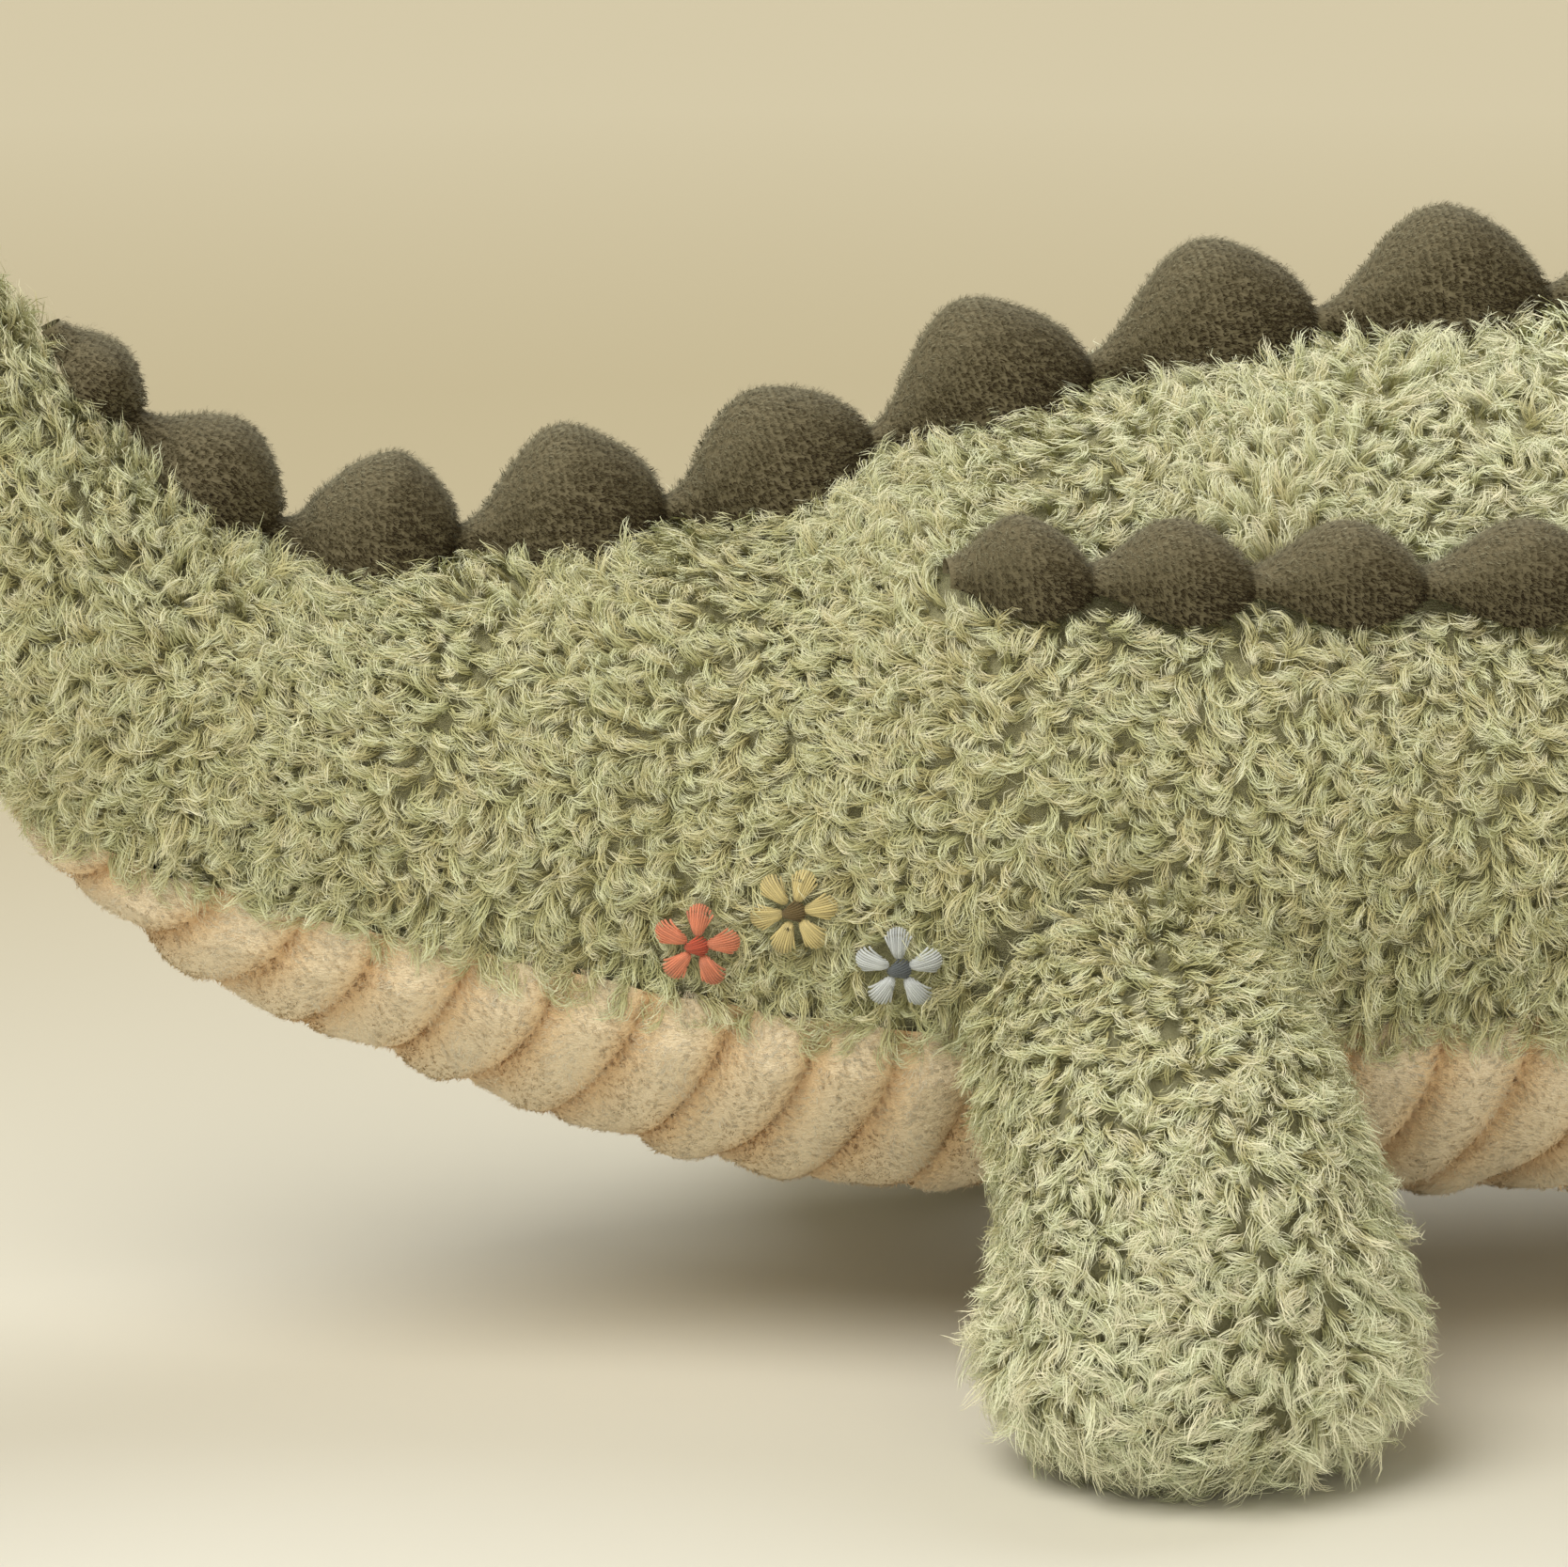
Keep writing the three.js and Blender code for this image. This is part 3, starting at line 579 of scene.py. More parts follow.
leg_root_radius = 0.020
hips = {
    name.removesuffix("_swing"): (np.array(joint["pos_m"]), unit(np.array(joint["axis"])))
    for name, joint in joints.items() if name.startswith("leg_")
}
hidden_root_share = 0.8
spine_gap = 0.0031
row_cover = 0.12 / last_station
pile_overlap = 0.045
flank_gap = 0.0030
flower_gap = 0.0046
# Painted highlight on the up-facing pile of the torso's back, growing between two shares
back_painted_highlight = 0.32
back_highlight_starts = (6.5 / last_station, 9.5 / last_station)
near_edge = math.radians(-14)


# The two edges of a cloth as angles. Each is given as an angle or as a function of the share.
def between(low, high):
    def edges(share):
        return [edge(share) if callable(edge) else np.full(len(share), edge) for edge in (low, high)]

    return edges


def right_edge(share):
    return seam_angle(share) + pile_overlap


def left_edge(share):
    return -right_edge(share)


rear_half = (-1, middle_share)
pile_zones = {
    "rear_near": (rear_half, between(near_edge, right_edge), close_pile, bend_with_tail),
    "rear_far": (rear_half, between(left_edge, near_edge), far_pile, bend_with_tail),
    "front": ((middle_share, 2), between(left_edge, right_edge), far_pile, bend_with_head),
}

for zone, (shares, edges, grade, bend) in pile_zones.items():
    share, angle = places_on(body, shares, edges, grade["spacing"])
    roots = body(share, angle, grow=-pile_depth)
    outs = facing(body, share, angle)
    shown = (np.abs(roots[:, 1]) > spine_gap) | (outs[:, 2] < 0)
    shown |= (share < spine_row[0] + row_cover) | (share > spine_row[1] - row_cover)
    from_row = np.abs(np.abs(angle) - flank_angle(share)) * section_at(share)[:, 1]
    shown &= (from_row > flank_gap) | (share < side_row[0]) | (share > side_row[1])
    for hip, axis in hips.values():
        apart = roots - hip
        from_axis = np.linalg.norm(apart - np.outer(apart @ axis, axis), axis=1)
        shown &= (from_axis > leg_root_radius * hidden_root_share) | (apart @ axis < -leg_root_radius)
    for place in flower_places.values():
        shown &= np.linalg.norm(roots - body(*np.array(place)[:, None]), axis=1) > flower_gap
    share, roots, outs = share[shown], roots[shown], outs[shown]
    # Painted highlight: curls of the back that face up are made paler
    painted_highlight = np.interp(share, back_highlight_starts, (0, back_painted_highlight)) * np.clip(outs[:, 2], 0, 1)
    tones = random.uniform(*straw_spread, len(roots))
    leans = leaning(roots, outs, body_flow, grade["spacing"], **pile_lie)
    points = tuft_points(roots, outs, leans, pile_length, pile_rise, pile_curl, grade)
    for piece in make_tufts(f"pile_{zone}", points, tones, curly_pile, painted_highlight):
        bend(piece)


# Belly: cream velvet with wide soft ribs, 9.6 mm from groove to groove, which cross the belly a
# little on the skew. One strip of cloth sewn along both edges under the curls, in two halves, with
# a crushed nap of short fibres on it.
rib_pitch = 0.0096
rib_height = 0.0024
rib_skew = 0.16
rib_roundness = 0.4
rib_wander = 0.09
wander_size = 0.012
belly_start = 2.2 / last_station
belly_rows = 420
belly_columns = 110
belly_tuck = 0.0022
tuck_width = 0.006
groove_fade = 0.004
pucker_size = 0.0045
pucker_depth = 0.00035
crushes_across = 330
crush_depth = 0.0006
velvet_length = 0.0013
velvet_root_depth = 0.0003
close_velvet = {
    "spacing": 0.00080, "radius": 0.00022, "width": 0.00013, "fibres": 6, "steps": 2, "turned": 1,
}
far_velvet = {
    "spacing": 0.0016, "radius": 0.00055, "width": 0.00024, "fibres": 5, "steps": 2, "turned": 0.97,
}
velvet_rise = ((10, 38), (0, 22))
velvet_curl = (0, 70)
velvet_flow = (-0.30, 0, -0.30)
velvet_lie = {
    "swirl": 0.8, "patch": 0.0028, "scatter": 0.25, "cluster_size": 0.0019, "cluster_pull": 0.3,
}
# Lengths run along the belly's right side pace its ribs
measured_angle = math.radians(135)
measured_samples = 2000
measured_shares = np.linspace(-1, 2, measured_samples)
measured_run = run_along(body(measured_shares, np.full(measured_samples, measured_angle)))


# Velvet is cream, with painted shade that turns its grooves tan and painted highlights that mottle
# it where it is crushed. Its material reads how high on a rib it lies, and on the nap also how near
# the fibre's tip.
def velvet_material(name, stops, painted_highlight_levels):
    made, tree, shader = start_material(
        name, Roughness=0.75, Specular_IOR_Level=0.2, Sheen_Weight=0.5, Sheen_Roughness=0.4,
        Sheen_Tint=srgb("#FFF3DC"),
    )
    crest = add_node(tree, "ShaderNodeAttribute", attribute_name="tone")
    # Painted shade: the ramp darkens the grooves to tan and leaves the crowns cream
    ground = add_node(tree, "ShaderNodeValToRGB", {"Fac": crest.outputs["Fac"]})
    set_ramp(ground, stops)
    crush = add_node(tree, "ShaderNodeTexNoise", Scale=crushes_across, Detail=3, Roughness=0.6)
    tip = add_node(tree, "ShaderNodeAttribute", attribute_name="tip")
    height = add_node(
        tree, "ShaderNodeMath", {0: crush.outputs["Fac"], 1: tip.outputs["Fac"]}, operation="ADD"
    )
    # Painted highlights: crushed patches are mottled paler
    painted_crush_highlights = add_node(tree, "ShaderNodeValToRGB", {"Fac": height.outputs[0]})
    set_ramp(painted_crush_highlights, painted_highlight_levels)
    velvet = add_node(tree, "ShaderNodeMix", {
        6: ground.outputs["Color"], 7: painted_crush_highlights.outputs["Color"],
    }, data_type="RGBA", blend_type="MULTIPLY", Factor=1)
    tree.links.new(velvet.outputs[2], shader.inputs["Base Color"])
    bump = add_node(
        tree, "ShaderNodeBump", {"Height": crush.outputs["Fac"]}, Strength=0.8, Distance=crush_depth
    )
    tree.links.new(bump.outputs["Normal"], shader.inputs["Normal"])
    return made


# The tan low stops are painted shade in the grooves, the white levels painted crush highlights
ribbed_velvet = velvet_material(
    "ribbed velvet", [(0, "#C08C5A"), (0.3, "#EECA9A"), (0.7, "#FBE2BA"), (1, "#FFF2D6")],
    [(0.35, "#ECE6DC"), (0.5, "#F8F5F0"), (0.68, "#FFFFFF")],
)
velvet_nap = velvet_material(
    "velvet nap", [(0, "#C28D5A"), (0.3, "#F3CF9E"), (0.7, "#FFE8C2"), (1, "#FFF6DE")],
    [(0.3, "#E6DAC6"), (0.6, "#F7F1E8"), (0.85, "#FFFFFF")],
)


def left_seam(share):
    return 2 * math.pi - seam_angle(share)


# How high on its rib each place of the belly lies, from 0 in a groove to 1 on the crown
def rib_crown(share, angle):
    flat = body(share, angle)
    skew = rib_skew * (angle - math.pi) * section_at(share)[:, 1]
    wander = rib_wander * np.sin(flat @ swirl_waves[0] / wander_size)[:, 0]
    phase = (np.interp(share, measured_shares, measured_run) + skew) / rib_pitch
    return np.abs(np.sin(math.pi * (phase + wander))) ** rib_roundness


def belly(share, angle, grow=0.0):
    flat = body(share, angle)
    from_edges = np.minimum(angle - seam_angle(share), left_seam(share) - angle)
    from_seam = from_edges * section_at(share)[:, 1]
    tuck = np.clip(1 - from_seam / tuck_width, 0, 1)
    groove = np.clip(from_seam / groove_fade, 0, 1) * rib_height
    puckers = sum(np.sin(flat @ waves / pucker_size)[:, 0] for waves in swirl_waves) * pucker_depth
    lift = (rib_crown(share, angle) - 1) * groove - tuck * belly_tuck + puckers + grow
    return flat + section_out(share, angle) * lift[:, None]


belly_edges = between(seam_angle, left_seam)

for half, ((low, high), bend) in body_halves.items():
    shares = np.linspace(max(low, belly_start), high, belly_rows)
    grid = surface_grid(belly, shares, *belly_edges(shares), belly_columns)
    crown = rib_crown(*cloth_places(shares, *belly_edges(shares), belly_columns))
    cloth = make_cloth(f"belly_{half}", grid, {"tone": crown, "tip": 0 * crown}, ribbed_velvet)
    if half == "rear":
        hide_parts("torso_belly_panel", "tail_belly_panel")
    else:
        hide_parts("head_throat_panel")
    grade = close_velvet if half == "rear" else far_velvet
    share, angle = places_on(belly, (shares[0], shares[-1]), belly_edges, grade["spacing"])
    roots = belly(share, angle, grow=-velvet_root_depth)
    outs = facing(belly, share, angle)
    leans = leaning(roots, outs, velvet_flow, grade["spacing"], **velvet_lie)
    points = tuft_points(roots, outs, leans, velvet_length, velvet_rise, velvet_curl, grade)
    for piece in [cloth, *make_tufts(f"belly_nap_{half}", points, rib_crown(share, angle), velvet_nap)]:
        bend(piece)


# Legs: four stuffed stubs of the same curly cloth, sewn on square to the flank and bent down to a
# rounded foot. Backing and curls as on the body, with longer curls on the foot and a painted
# highlight on them.
foot_length = 0.0485
foot_width = 0.040
foot_rounding = 0.015
foot_reach = 0.066
foot_advance = 0.0035
leg_stride = 0.015
pocket_clearance = 0.0005
sole_flat = 0.0005
foot_bluntness = 0.7
leg_pile_length = 0.0050
foot_pile_length = 0.0074
longer_pile_shares = (0.5, 1.2)
# Painted highlight on the foot's curls, rising along the leg towards the foot
foot_painted_highlight = 0.5
foot_highlight_shares = (0.1, 1.1)
leg_rise = ((35, 80), (-45, 20))
leg_curl = (30, 170)
leg_flow = 0.5
flow_step_share = 0.01
leg_rows = 70
leg_columns = 64
leg_backing_shares = (-0.25, 1.995)
leg_pile_shares = (-0.1, 1.97)
floor_clearance = 0.0003


# Points of one leg's surface: shares from 0 at the hip to 1 above the foot, and a further 1 closes
# the foot. Angles run from the front.
def leg_surface(hip, axis):
    side = math.copysign(1, hip[1])
    crown = min(torso_width, torso_depth) / 2
    rim_radius = leg_root_radius + pocket_clearance
    rim = hip + axis * (crown - math.sqrt(crown ** 2 - rim_radius ** 2) + pocket_clearance)
    up = np.array([0, 0, 1])
    foot = np.array([hip[0] + foot_advance, side * foot_reach, foot_rounding - sole_flat])
    bends = np.array([rim, rim + axis * leg_stride, foot + up * leg_stride, foot])

    def path(share):
        rest = 1 - share
        weights = [rest ** 3, 3 * rest ** 2 * share, 3 * rest * share ** 2, share ** 3]
        return np.column_stack(weights) @ bends

    def surface(share, angle, grow=0.0):
        inner = np.clip(share, 0, 1)
        along = unit(path(inner + spine_step_share) - path(inner - spine_step_share))
        forward = unit(np.array([1, 0, 0]) - along * along[:, :1])
        sideways = np.cross(along, forward)
        past = (share - inner) * math.pi / 2
        swell = inner ** 2
        shrink = np.abs(np.cos(past)) ** foot_bluntness
        long = (leg_root_radius + (foot_length / 2 - leg_root_radius) * swell + grow) * shrink
        wide = (leg_root_radius + (foot_width / 2 - leg_root_radius) * swell + grow) * shrink
        ahead = (foot_rounding + grow) * np.sin(past)
        points = (
            path(inner)
            + forward * (long * np.cos(angle))[:, None]
            + sideways * (wide * np.sin(angle))[:, None]
            + along * ahead[:, None]
        )
        points[:, 2] = np.maximum(points[:, 2], floor_clearance)
        return points

    return surface


all_round = between(0, 2 * math.pi)

for leg, (hip, axis) in hips.items():
    surface = leg_surface(hip, axis)
    shares = np.linspace(*leg_backing_shares, leg_rows)
    grid = surface_grid(surface, shares, *all_round(shares), leg_columns, grow=-pile_depth)
    piece = make_cloth(f"{leg}_backing", grid, {}, backing_cloth)
    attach(piece, leg)
    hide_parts(f"{leg}_skin", f"{leg}_filling")
    grade = close_pile if leg == "leg_hind_right" else far_pile
    share, angle = places_on(surface, leg_pile_shares, all_round, grade["spacing"])
    roots = surface(share, angle, grow=-pile_depth)
    outs = facing(surface, share, angle)
    to_foot = unit(surface(share + flow_step_share, angle) - surface(share - flow_step_share, angle))
    leans = leaning(roots, outs, leg_flow * to_foot, grade["spacing"], **pile_lie)
    lengths = np.interp(share, longer_pile_shares, (leg_pile_length, foot_pile_length))[:, None]
    points = tuft_points(roots, outs, leans, lengths, leg_rise, leg_curl, grade)
    points[..., 2] = np.maximum(points[..., 2], floor_clearance)
    # Painted highlight on the curls, paler towards the foot
    painted_highlight = np.interp(share, foot_highlight_shares, (0, foot_painted_highlight))
    tones = random.uniform(*straw_spread, len(roots))
    for piece in make_tufts(f"{leg}_pile", points, tones, curly_pile, painted_highlight):
        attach(piece, leg)


# Scutes: stuffed bumps of dark olive velour, 12 mm high over the back, with a pinched web between
# neighbours, in one row sewn along the spine and one along each side. Their short nap lies flat
# towards the head. Its colour has a painted highlight on the crests and on the side that the light
# meets, and painted shade at the foot of each bump.
scute_pitch = 0.027
scute_height = 0.012
scute_width = 0.015
side_scute_pitch = 0.020
side_scute_height = 0.0075
side_scute_width = 0.0105
web_height = 0.002
web_width = 0.005
thin_pitch_share = 0.55
full_height_share = 0.43
height_taper = 3.5
flank_taper = 1.5
shortest_bump_share = 0.5
scute_lean = 1.25
tail_side_roundness = 1.5
head_side_roundness = 0.7
flank_roundness = 0.8
turn_share = 0.25
side_row_uplift = np.array([0, 0, 1.8])
row_lean = math.radians(110)
scute_steps = 22
bump_samples = 40
scute_columns = 27
scute_anchor = 9.06 / last_station
search_share = 3 / last_station
search_samples = 301
last_bump_gap_share = 1e-6
row_end_share = 0.02
nap_length = 0.0010
close_nap = {
    "spacing": 0.00080, "radius": 0.00032, "width": 0.00010, "fibres": 8, "steps": 2, "turned": 0.97,
}
far_nap = {
    "spacing": 0.0013, "radius": 0.00050, "width": 0.00022, "fibres": 6, "steps": 2, "turned": 0.97,
}
nap_rise = ((15, 32), (-5, 12))
nap_curl = (0, 15)
nap_flow = (0.9, 0, -0.3)
nap_lie = {
    "swirl": 0.10, "patch": 0.009, "scatter": 0.10, "cluster_size": 0.0017, "cluster_pull": 0.4,
}
nap_jitter = 0.3
cover_tone = 0.2
# Painted light on the nap: a highlight on crests and the lit side, shade at the bumps' feet
crest_painted_highlight = 0.34
lit_side = unit(np.array([-0.8, 0, 0.6]))
painted_foot_shade = 0.35
nap_tone_spread = 0.04
shade_patches_across = 150

# Velour is matt, with a pale bloom where its fibres stand against the light
short_pile, tree, shader = start_material(
    "short-pile velour", Roughness=0.8, Specular_IOR_Level=0.2, Sheen_Weight=0.75,
    Sheen_Roughness=0.35, Sheen_Tint=srgb("#CFCEB4"),
)
tip = add_node(tree, "ShaderNodeAttribute", attribute_name="tip")
velour = add_node(tree, "ShaderNodeValToRGB", {"Fac": tip.outputs["Fac"]})
set_ramp(velour, [(0, "#6C654E"), (0.4, "#7C765F"), (1, "#A3A289")])
shade = add_node(tree, "ShaderNodeTexNoise", Scale=shade_patches_across, Detail=3)
# The nap's tone carries painted light: paler crests and lit side, painted shade at the feet
tone = add_node(tree, "ShaderNodeAttribute", attribute_name="tone")
shade_height = add_node(
    tree, "ShaderNodeMath", {0: shade.outputs["Fac"], 1: tone.outputs["Fac"]}, operation="ADD"
)
shade_tone = add_node(tree, "ShaderNodeValToRGB", {"Fac": shade_height.outputs[0]})
set_ramp(shade_tone, [(0.15, "#54452F"), (0.4, "#8E846D"), (0.75, "#FFFFFF")])
velour_mix = add_node(tree, "ShaderNodeMix", {
    6: velour.outputs["Color"], 7: shade_tone.outputs["Color"],
}, data_type="RGBA", blend_type="MULTIPLY", Factor=1)
tree.links.new(velour_mix.outputs[2], shader.inputs["Base Color"])


def spine_angle(share):
    return np.zeros(len(share))


# The next place along a row, a set distance on along the body's surface
def advance(share, angle_at, distance, way):
    fine = np.clip(share + way * np.linspace(0, search_share, search_samples), 0, 1)
    return np.interp(distance, run_along(body(fine, angle_at(fine))), fine)


def fullness(share):
    return section_at(np.atleast_1d(share))[:, 1] * 2 / torso_depth


def spine_pitch(share):
    return scute_pitch * (thin_pitch_share + (1 - thin_pitch_share) * fullness(share)[0])


def spine_height(share):
    return scute_height * np.minimum(1, fullness(share) / full_height_share) ** height_taper


def flank_pitch(share):
    return side_scute_pitch * fullness(share)[0] ** flank_taper


def flank_height(share):
    return np.full(len(share), side_scute_height)


# The valleys of a row from its start to its end, where the last bump takes up what is left
def valleys_between(start, end, angle_at, pitch_at):
    way = math.copysign(1, end - start)

    def onwards(share, pitches):
        return advance(share, angle_at, pitch_at(share) * pitches, way)

    valleys = [start]
    following = onwards(start, 1)
    while (end - onwards(following, shortest_bump_share)) * way > 0:
        valleys.append(following)
        following = onwards(following, 1)
    return [*valleys, end]


# A row's surface: shares count bumps from valley to valley, and angles run over the row from one
# foot to the other. Each bump rises slowly and falls steeply towards the head, and stands square to
# the line between its two valleys. The side rows lean up against the curls above them.
def row_surface(valleys, angle_at, height_at, width, uplift, mirror):
    places = np.array(valleys)
    ways_out = section_out(places, angle_at(places))
    bumps = len(places) - 1
    counted = np.linspace(0, bumps, bumps * bump_samples + 1)
    fine = np.interp(counted, np.arange(bumps + 1), places)
    run = run_along(body(fine, angle_at(fine)))
    paced = np.interp(run, run[::bump_samples], np.arange(bumps + 1))
    crests = height_at(np.interp(np.arange(bumps) + 0.5, paced, fine))
    chords = unit(np.diff(body(places, angle_at(places)), axis=0))
    uprights = ways_out[:-1] + ways_out[1:]
    uprights = unit(uprights - chords * np.sum(uprights * chords, axis=1, keepdims=True))

    def surface(share, angle, grow=0.0):
        share = np.clip(share, 0, bumps - last_bump_gap_share)
        bump = np.floor(share).astype(int)
        part = share - bump
        roundness = tail_side_roundness + (head_side_roundness - tail_side_roundness) * part
        swell = np.abs(np.sin(math.pi * part ** scute_lean)) ** roundness
        along = np.interp(share, paced, fine)
        high = web_height + (crests[bump] - web_height) * swell + grow
        wide = web_width + (width - web_width) * swell + 2 * grow
        foot = body(along, angle_at(along))
        turned = np.minimum(1, np.minimum(part, 1 - part) / turn_share)[:, None]
        out = unit(ways_out[np.rint(share).astype(int)] * (1 - turned) + uprights[bump] * turned + uplift)
        before, after = along - surface_step_share, along + surface_step_share
        ahead = unit(curve(centres, after) - curve(centres, before))
        around = unit(np.cross(ahead, out))
        lean = np.cos(angle)
        rise = np.sign(lean) * np.abs(lean) ** flank_roundness
        points = foot + out * (rise * high)[:, None] + around * (np.sin(angle) * wide / 2)[:, None]
        points[:, 1] *= mirror
        return points

    return surface


to_tail = valleys_between(scute_anchor, spine_row[0], spine_angle, spine_pitch)[::-1]
to_head = valleys_between(scute_anchor, spine_row[1], spine_angle, spine_pitch)
flank = valleys_between(*side_row, flank_angle, flank_pitch)
tail_strips = ("scute_strip_tail", "scute_strip_back")
# Each row's valleys, angle, height, width, uplift and side, and below how it is carried and made
row_shapes = {
    "scutes_rear": (to_tail, spine_angle, spine_height, scute_width, 0, 1),
    "scutes_front": (to_head, spine_angle, spine_height, scute_width, 0, 1),
    "side_scutes_right": (flank, flank_angle, flank_height, side_scute_width, side_row_uplift, 1),
    "side_scutes_left": (flank, flank_angle, flank_height, side_scute_width, side_row_uplift, -1),
}
row_makings = {
    "scutes_rear": (bend_with_tail, tail_strips, close_nap),
    "scutes_front": (bend_with_head, ("scute_strip_neck",), close_nap),
    "side_scutes_right": (None, ("side_scutes_right",), close_nap),
    "side_scutes_left": (None, ("side_scutes_left",), far_nap),
}
row_edges = between(-row_lean, row_lean)

for name, (valleys, angle_at, height_at, width, uplift, mirror) in row_shapes.items():
    bend, nodes, grade = row_makings[name]
    surface = row_surface(valleys, angle_at, height_at, width, uplift, mirror)
    bumps = len(valleys) - 1
    shares = np.linspace(0, bumps, bumps * scute_steps + 1)
    grid = surface_grid(surface, shares, *row_edges(shares), scute_columns, grow=-grade["radius"])
    if mirror < 0:
        grid = grid[:, ::-1]
    ground = np.full(grid.shape[:2], cover_tone)
    cover = make_cloth(f"{name}_cover", grid, {"tip": ground, "tone": ground}, short_pile)
    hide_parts(*nodes)
    nap_shares = (row_end_share, bumps - row_end_share)
    share, angle = places_on(surface, nap_shares, row_edges, grade["spacing"], jitter=nap_jitter)
    roots = surface(share, angle, grow=-grade["radius"])
    outs = facing(surface, share, angle) * mirror
    leans = leaning(roots, outs, nap_flow, grade["spacing"], **nap_lie)
    points = tuft_points(roots, outs, leans, nap_length, nap_rise, nap_curl, grade)
    # Painted highlight on crests and the lit side, painted shade at each bump's foot
    tones = crest_painted_highlight * (np.cos(angle) + np.clip(outs @ lit_side, 0, 1)) - painted_foot_shade
    nap = make_tufts(f"{name}_nap", points, tones, short_pile, tone_spread=nap_tone_spread)
    for piece in [cover, *nap]:
        if bend:
            bend(piece)
        else:
            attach(piece, "torso")


# Embroidery: three small flowers of satin stitch in coral, straw and pale grey-blue thread on the
# right flank, and two dark nostrils. Each petal is a leaf filled with threads laid side by side.
thread_radius = 0.00014
thread_pitch = 0.00030
thread_sides = 6
thread_steps = 9
strands_across = 1500
strand_depth = 0.0001
painted_strand_shade_share = 0.35
thread_tone_spread = (0.8, 2.0)
fewest_threads = 3
petal_length = 0.0036
petal_width = 0.0031
petal_start = 0.0012
petal_puff = 0.0007
puff_flatness = 4
leaf_fan_share = 0.25
first_petal_share = 0.25
knot_radius = 0.0013
knot_turn = math.radians(20)
nostril_length = 0.006
nostril_width = 0.0034
# Each flower's petals, the colour of their thread and that of its knot
flower_threads = {
    "coral": (5, "#EA9270", "#C95A40"),
    "straw": (6, "#DCCD90", "#6B5A34"),
    "pale": (5, "#D5DDE0", "#6A737A"),
}
embroidery_lift = 0.0006
off_every_thread = np.array([0.31, 0.17, 0.93])


# Twisted rayon thread has a silky gloss, with painted shade between its strands
def thread_material(name, code):
    made, tree, shader = start_material(
        name, Roughness=0.38, Specular_IOR_Level=0.5, Sheen_Weight=0.3, Sheen_Roughness=0.3
    )
    strands = add_node(tree, "ShaderNodeTexNoise", Scale=strands_across, Detail=2)
    own = add_node(tree, "ShaderNodeAttribute", attribute_name="tone")
    light = add_node(
        tree, "ShaderNodeMath", {0: strands.outputs["Fac"], 1: own.outputs["Fac"]}, operation="MULTIPLY"
    )
    tones = add_node(tree, "ShaderNodeMix", {"Factor": light.outputs[0]}, data_type="RGBA")
    # Painted shade between the strands darkens the thread's colour
    tones.inputs[6].default_value = [painted_strand_shade_share * value for value in srgb(code)[:3]] + [1]
    tones.inputs[7].default_value = srgb(code)
    tree.links.new(tones.outputs[2], shader.inputs["Base Color"])
    twist = add_node(
        tree, "ShaderNodeBump", {"Height": strands.outputs["Fac"]}, Strength=0.5, Distance=strand_depth
    )
    tree.links.new(twist.outputs["Normal"], shader.inputs["Normal"])
    return made


# Threads as round tubes along paths of points, each tube with its own cell of the bake
def make_threads(name, paths, made):
    count, steps = paths.shape[:2]
    along = unit(np.gradient(paths, axis=1))
    across = unit(np.cross(along, off_every_thread))
    over = np.cross(across, along)
    turn = np.linspace(0, 2 * math.pi, thread_sides, endpoint=False)
    rings = paths[:, :, None] + thread_radius * (
        across[:, :, None] * np.cos(turn)[:, None] + over[:, :, None] * np.sin(turn)[:, None]
    )
    numbers = np.arange(steps * thread_sides).reshape(steps, thread_sides)
    following = np.roll(numbers, -1, axis=1)
    quads = np.stack([numbers[:-1], following[:-1], following[1:], numbers[1:]], axis=-1).reshape(-1, 4)
    faces = (np.arange(count)[:, None, None] * steps * thread_sides + quads).reshape(-1, 4)
    rows, columns = np.divmod(np.arange((steps - 1) * thread_sides), thread_sides)
    corner = np.array([[0, 0], [1, 0], [1, 1], [0, 1]])
    within = (np.stack([columns, rows], axis=-1)[:, None] + corner) / (thread_sides, steps - 1)
    grid = math.ceil(math.sqrt(count))
    cell = np.column_stack([np.arange(count) % grid, np.arange(count) // grid])
    inside = bake_margin_share + (1 - 2 * bake_margin_share) * within
    spots = (cell[:, None, None] + inside) / grid
    tones = np.repeat(random.uniform(*thread_tone_spread, count), steps * thread_sides)
    return make_piece(name, rings.reshape(-1, 3), [faces], spots.reshape(-1, 2), {"tone": tones}, made)


# Threads laid along a leaf on the body's surface, raised in the middle and fanned a little
def leaf_paths(share, angle, turn, start, length, width):
    place, side = np.array([share]), np.array([angle])
    centre = body(place, side)[0]
    out = facing(body, place, side)[0]
    ahead = unit(body(place + surface_step_share, side) - body(place - surface_step_share, side))[0]
    around = np.cross(out, ahead)
    way = math.cos(turn) * ahead + math.sin(turn) * around
    cross = np.cross(out, way)
    count = max(fewest_threads, round(width / thread_pitch))
    part = np.linspace(-1, 1, thread_steps)[:, None]
    paths = []
    for offset in (np.arange(count) + 0.5) / count * 2 - 1:
        half = length / 2 * math.sqrt(1 - offset ** 2)
        along = start + length / 2 + half * part
        aside = offset * width / 2 * (1 - leaf_fan_share + leaf_fan_share * part)
        puff = petal_puff * (1 - part ** puff_flatness) * math.sqrt(1 - offset ** 2)
        fall = (along ** 2 + aside ** 2) / torso_width
        paths.append(centre + way * along + cross * aside + out * (puff + embroidery_lift - fall))
    return np.array(paths)


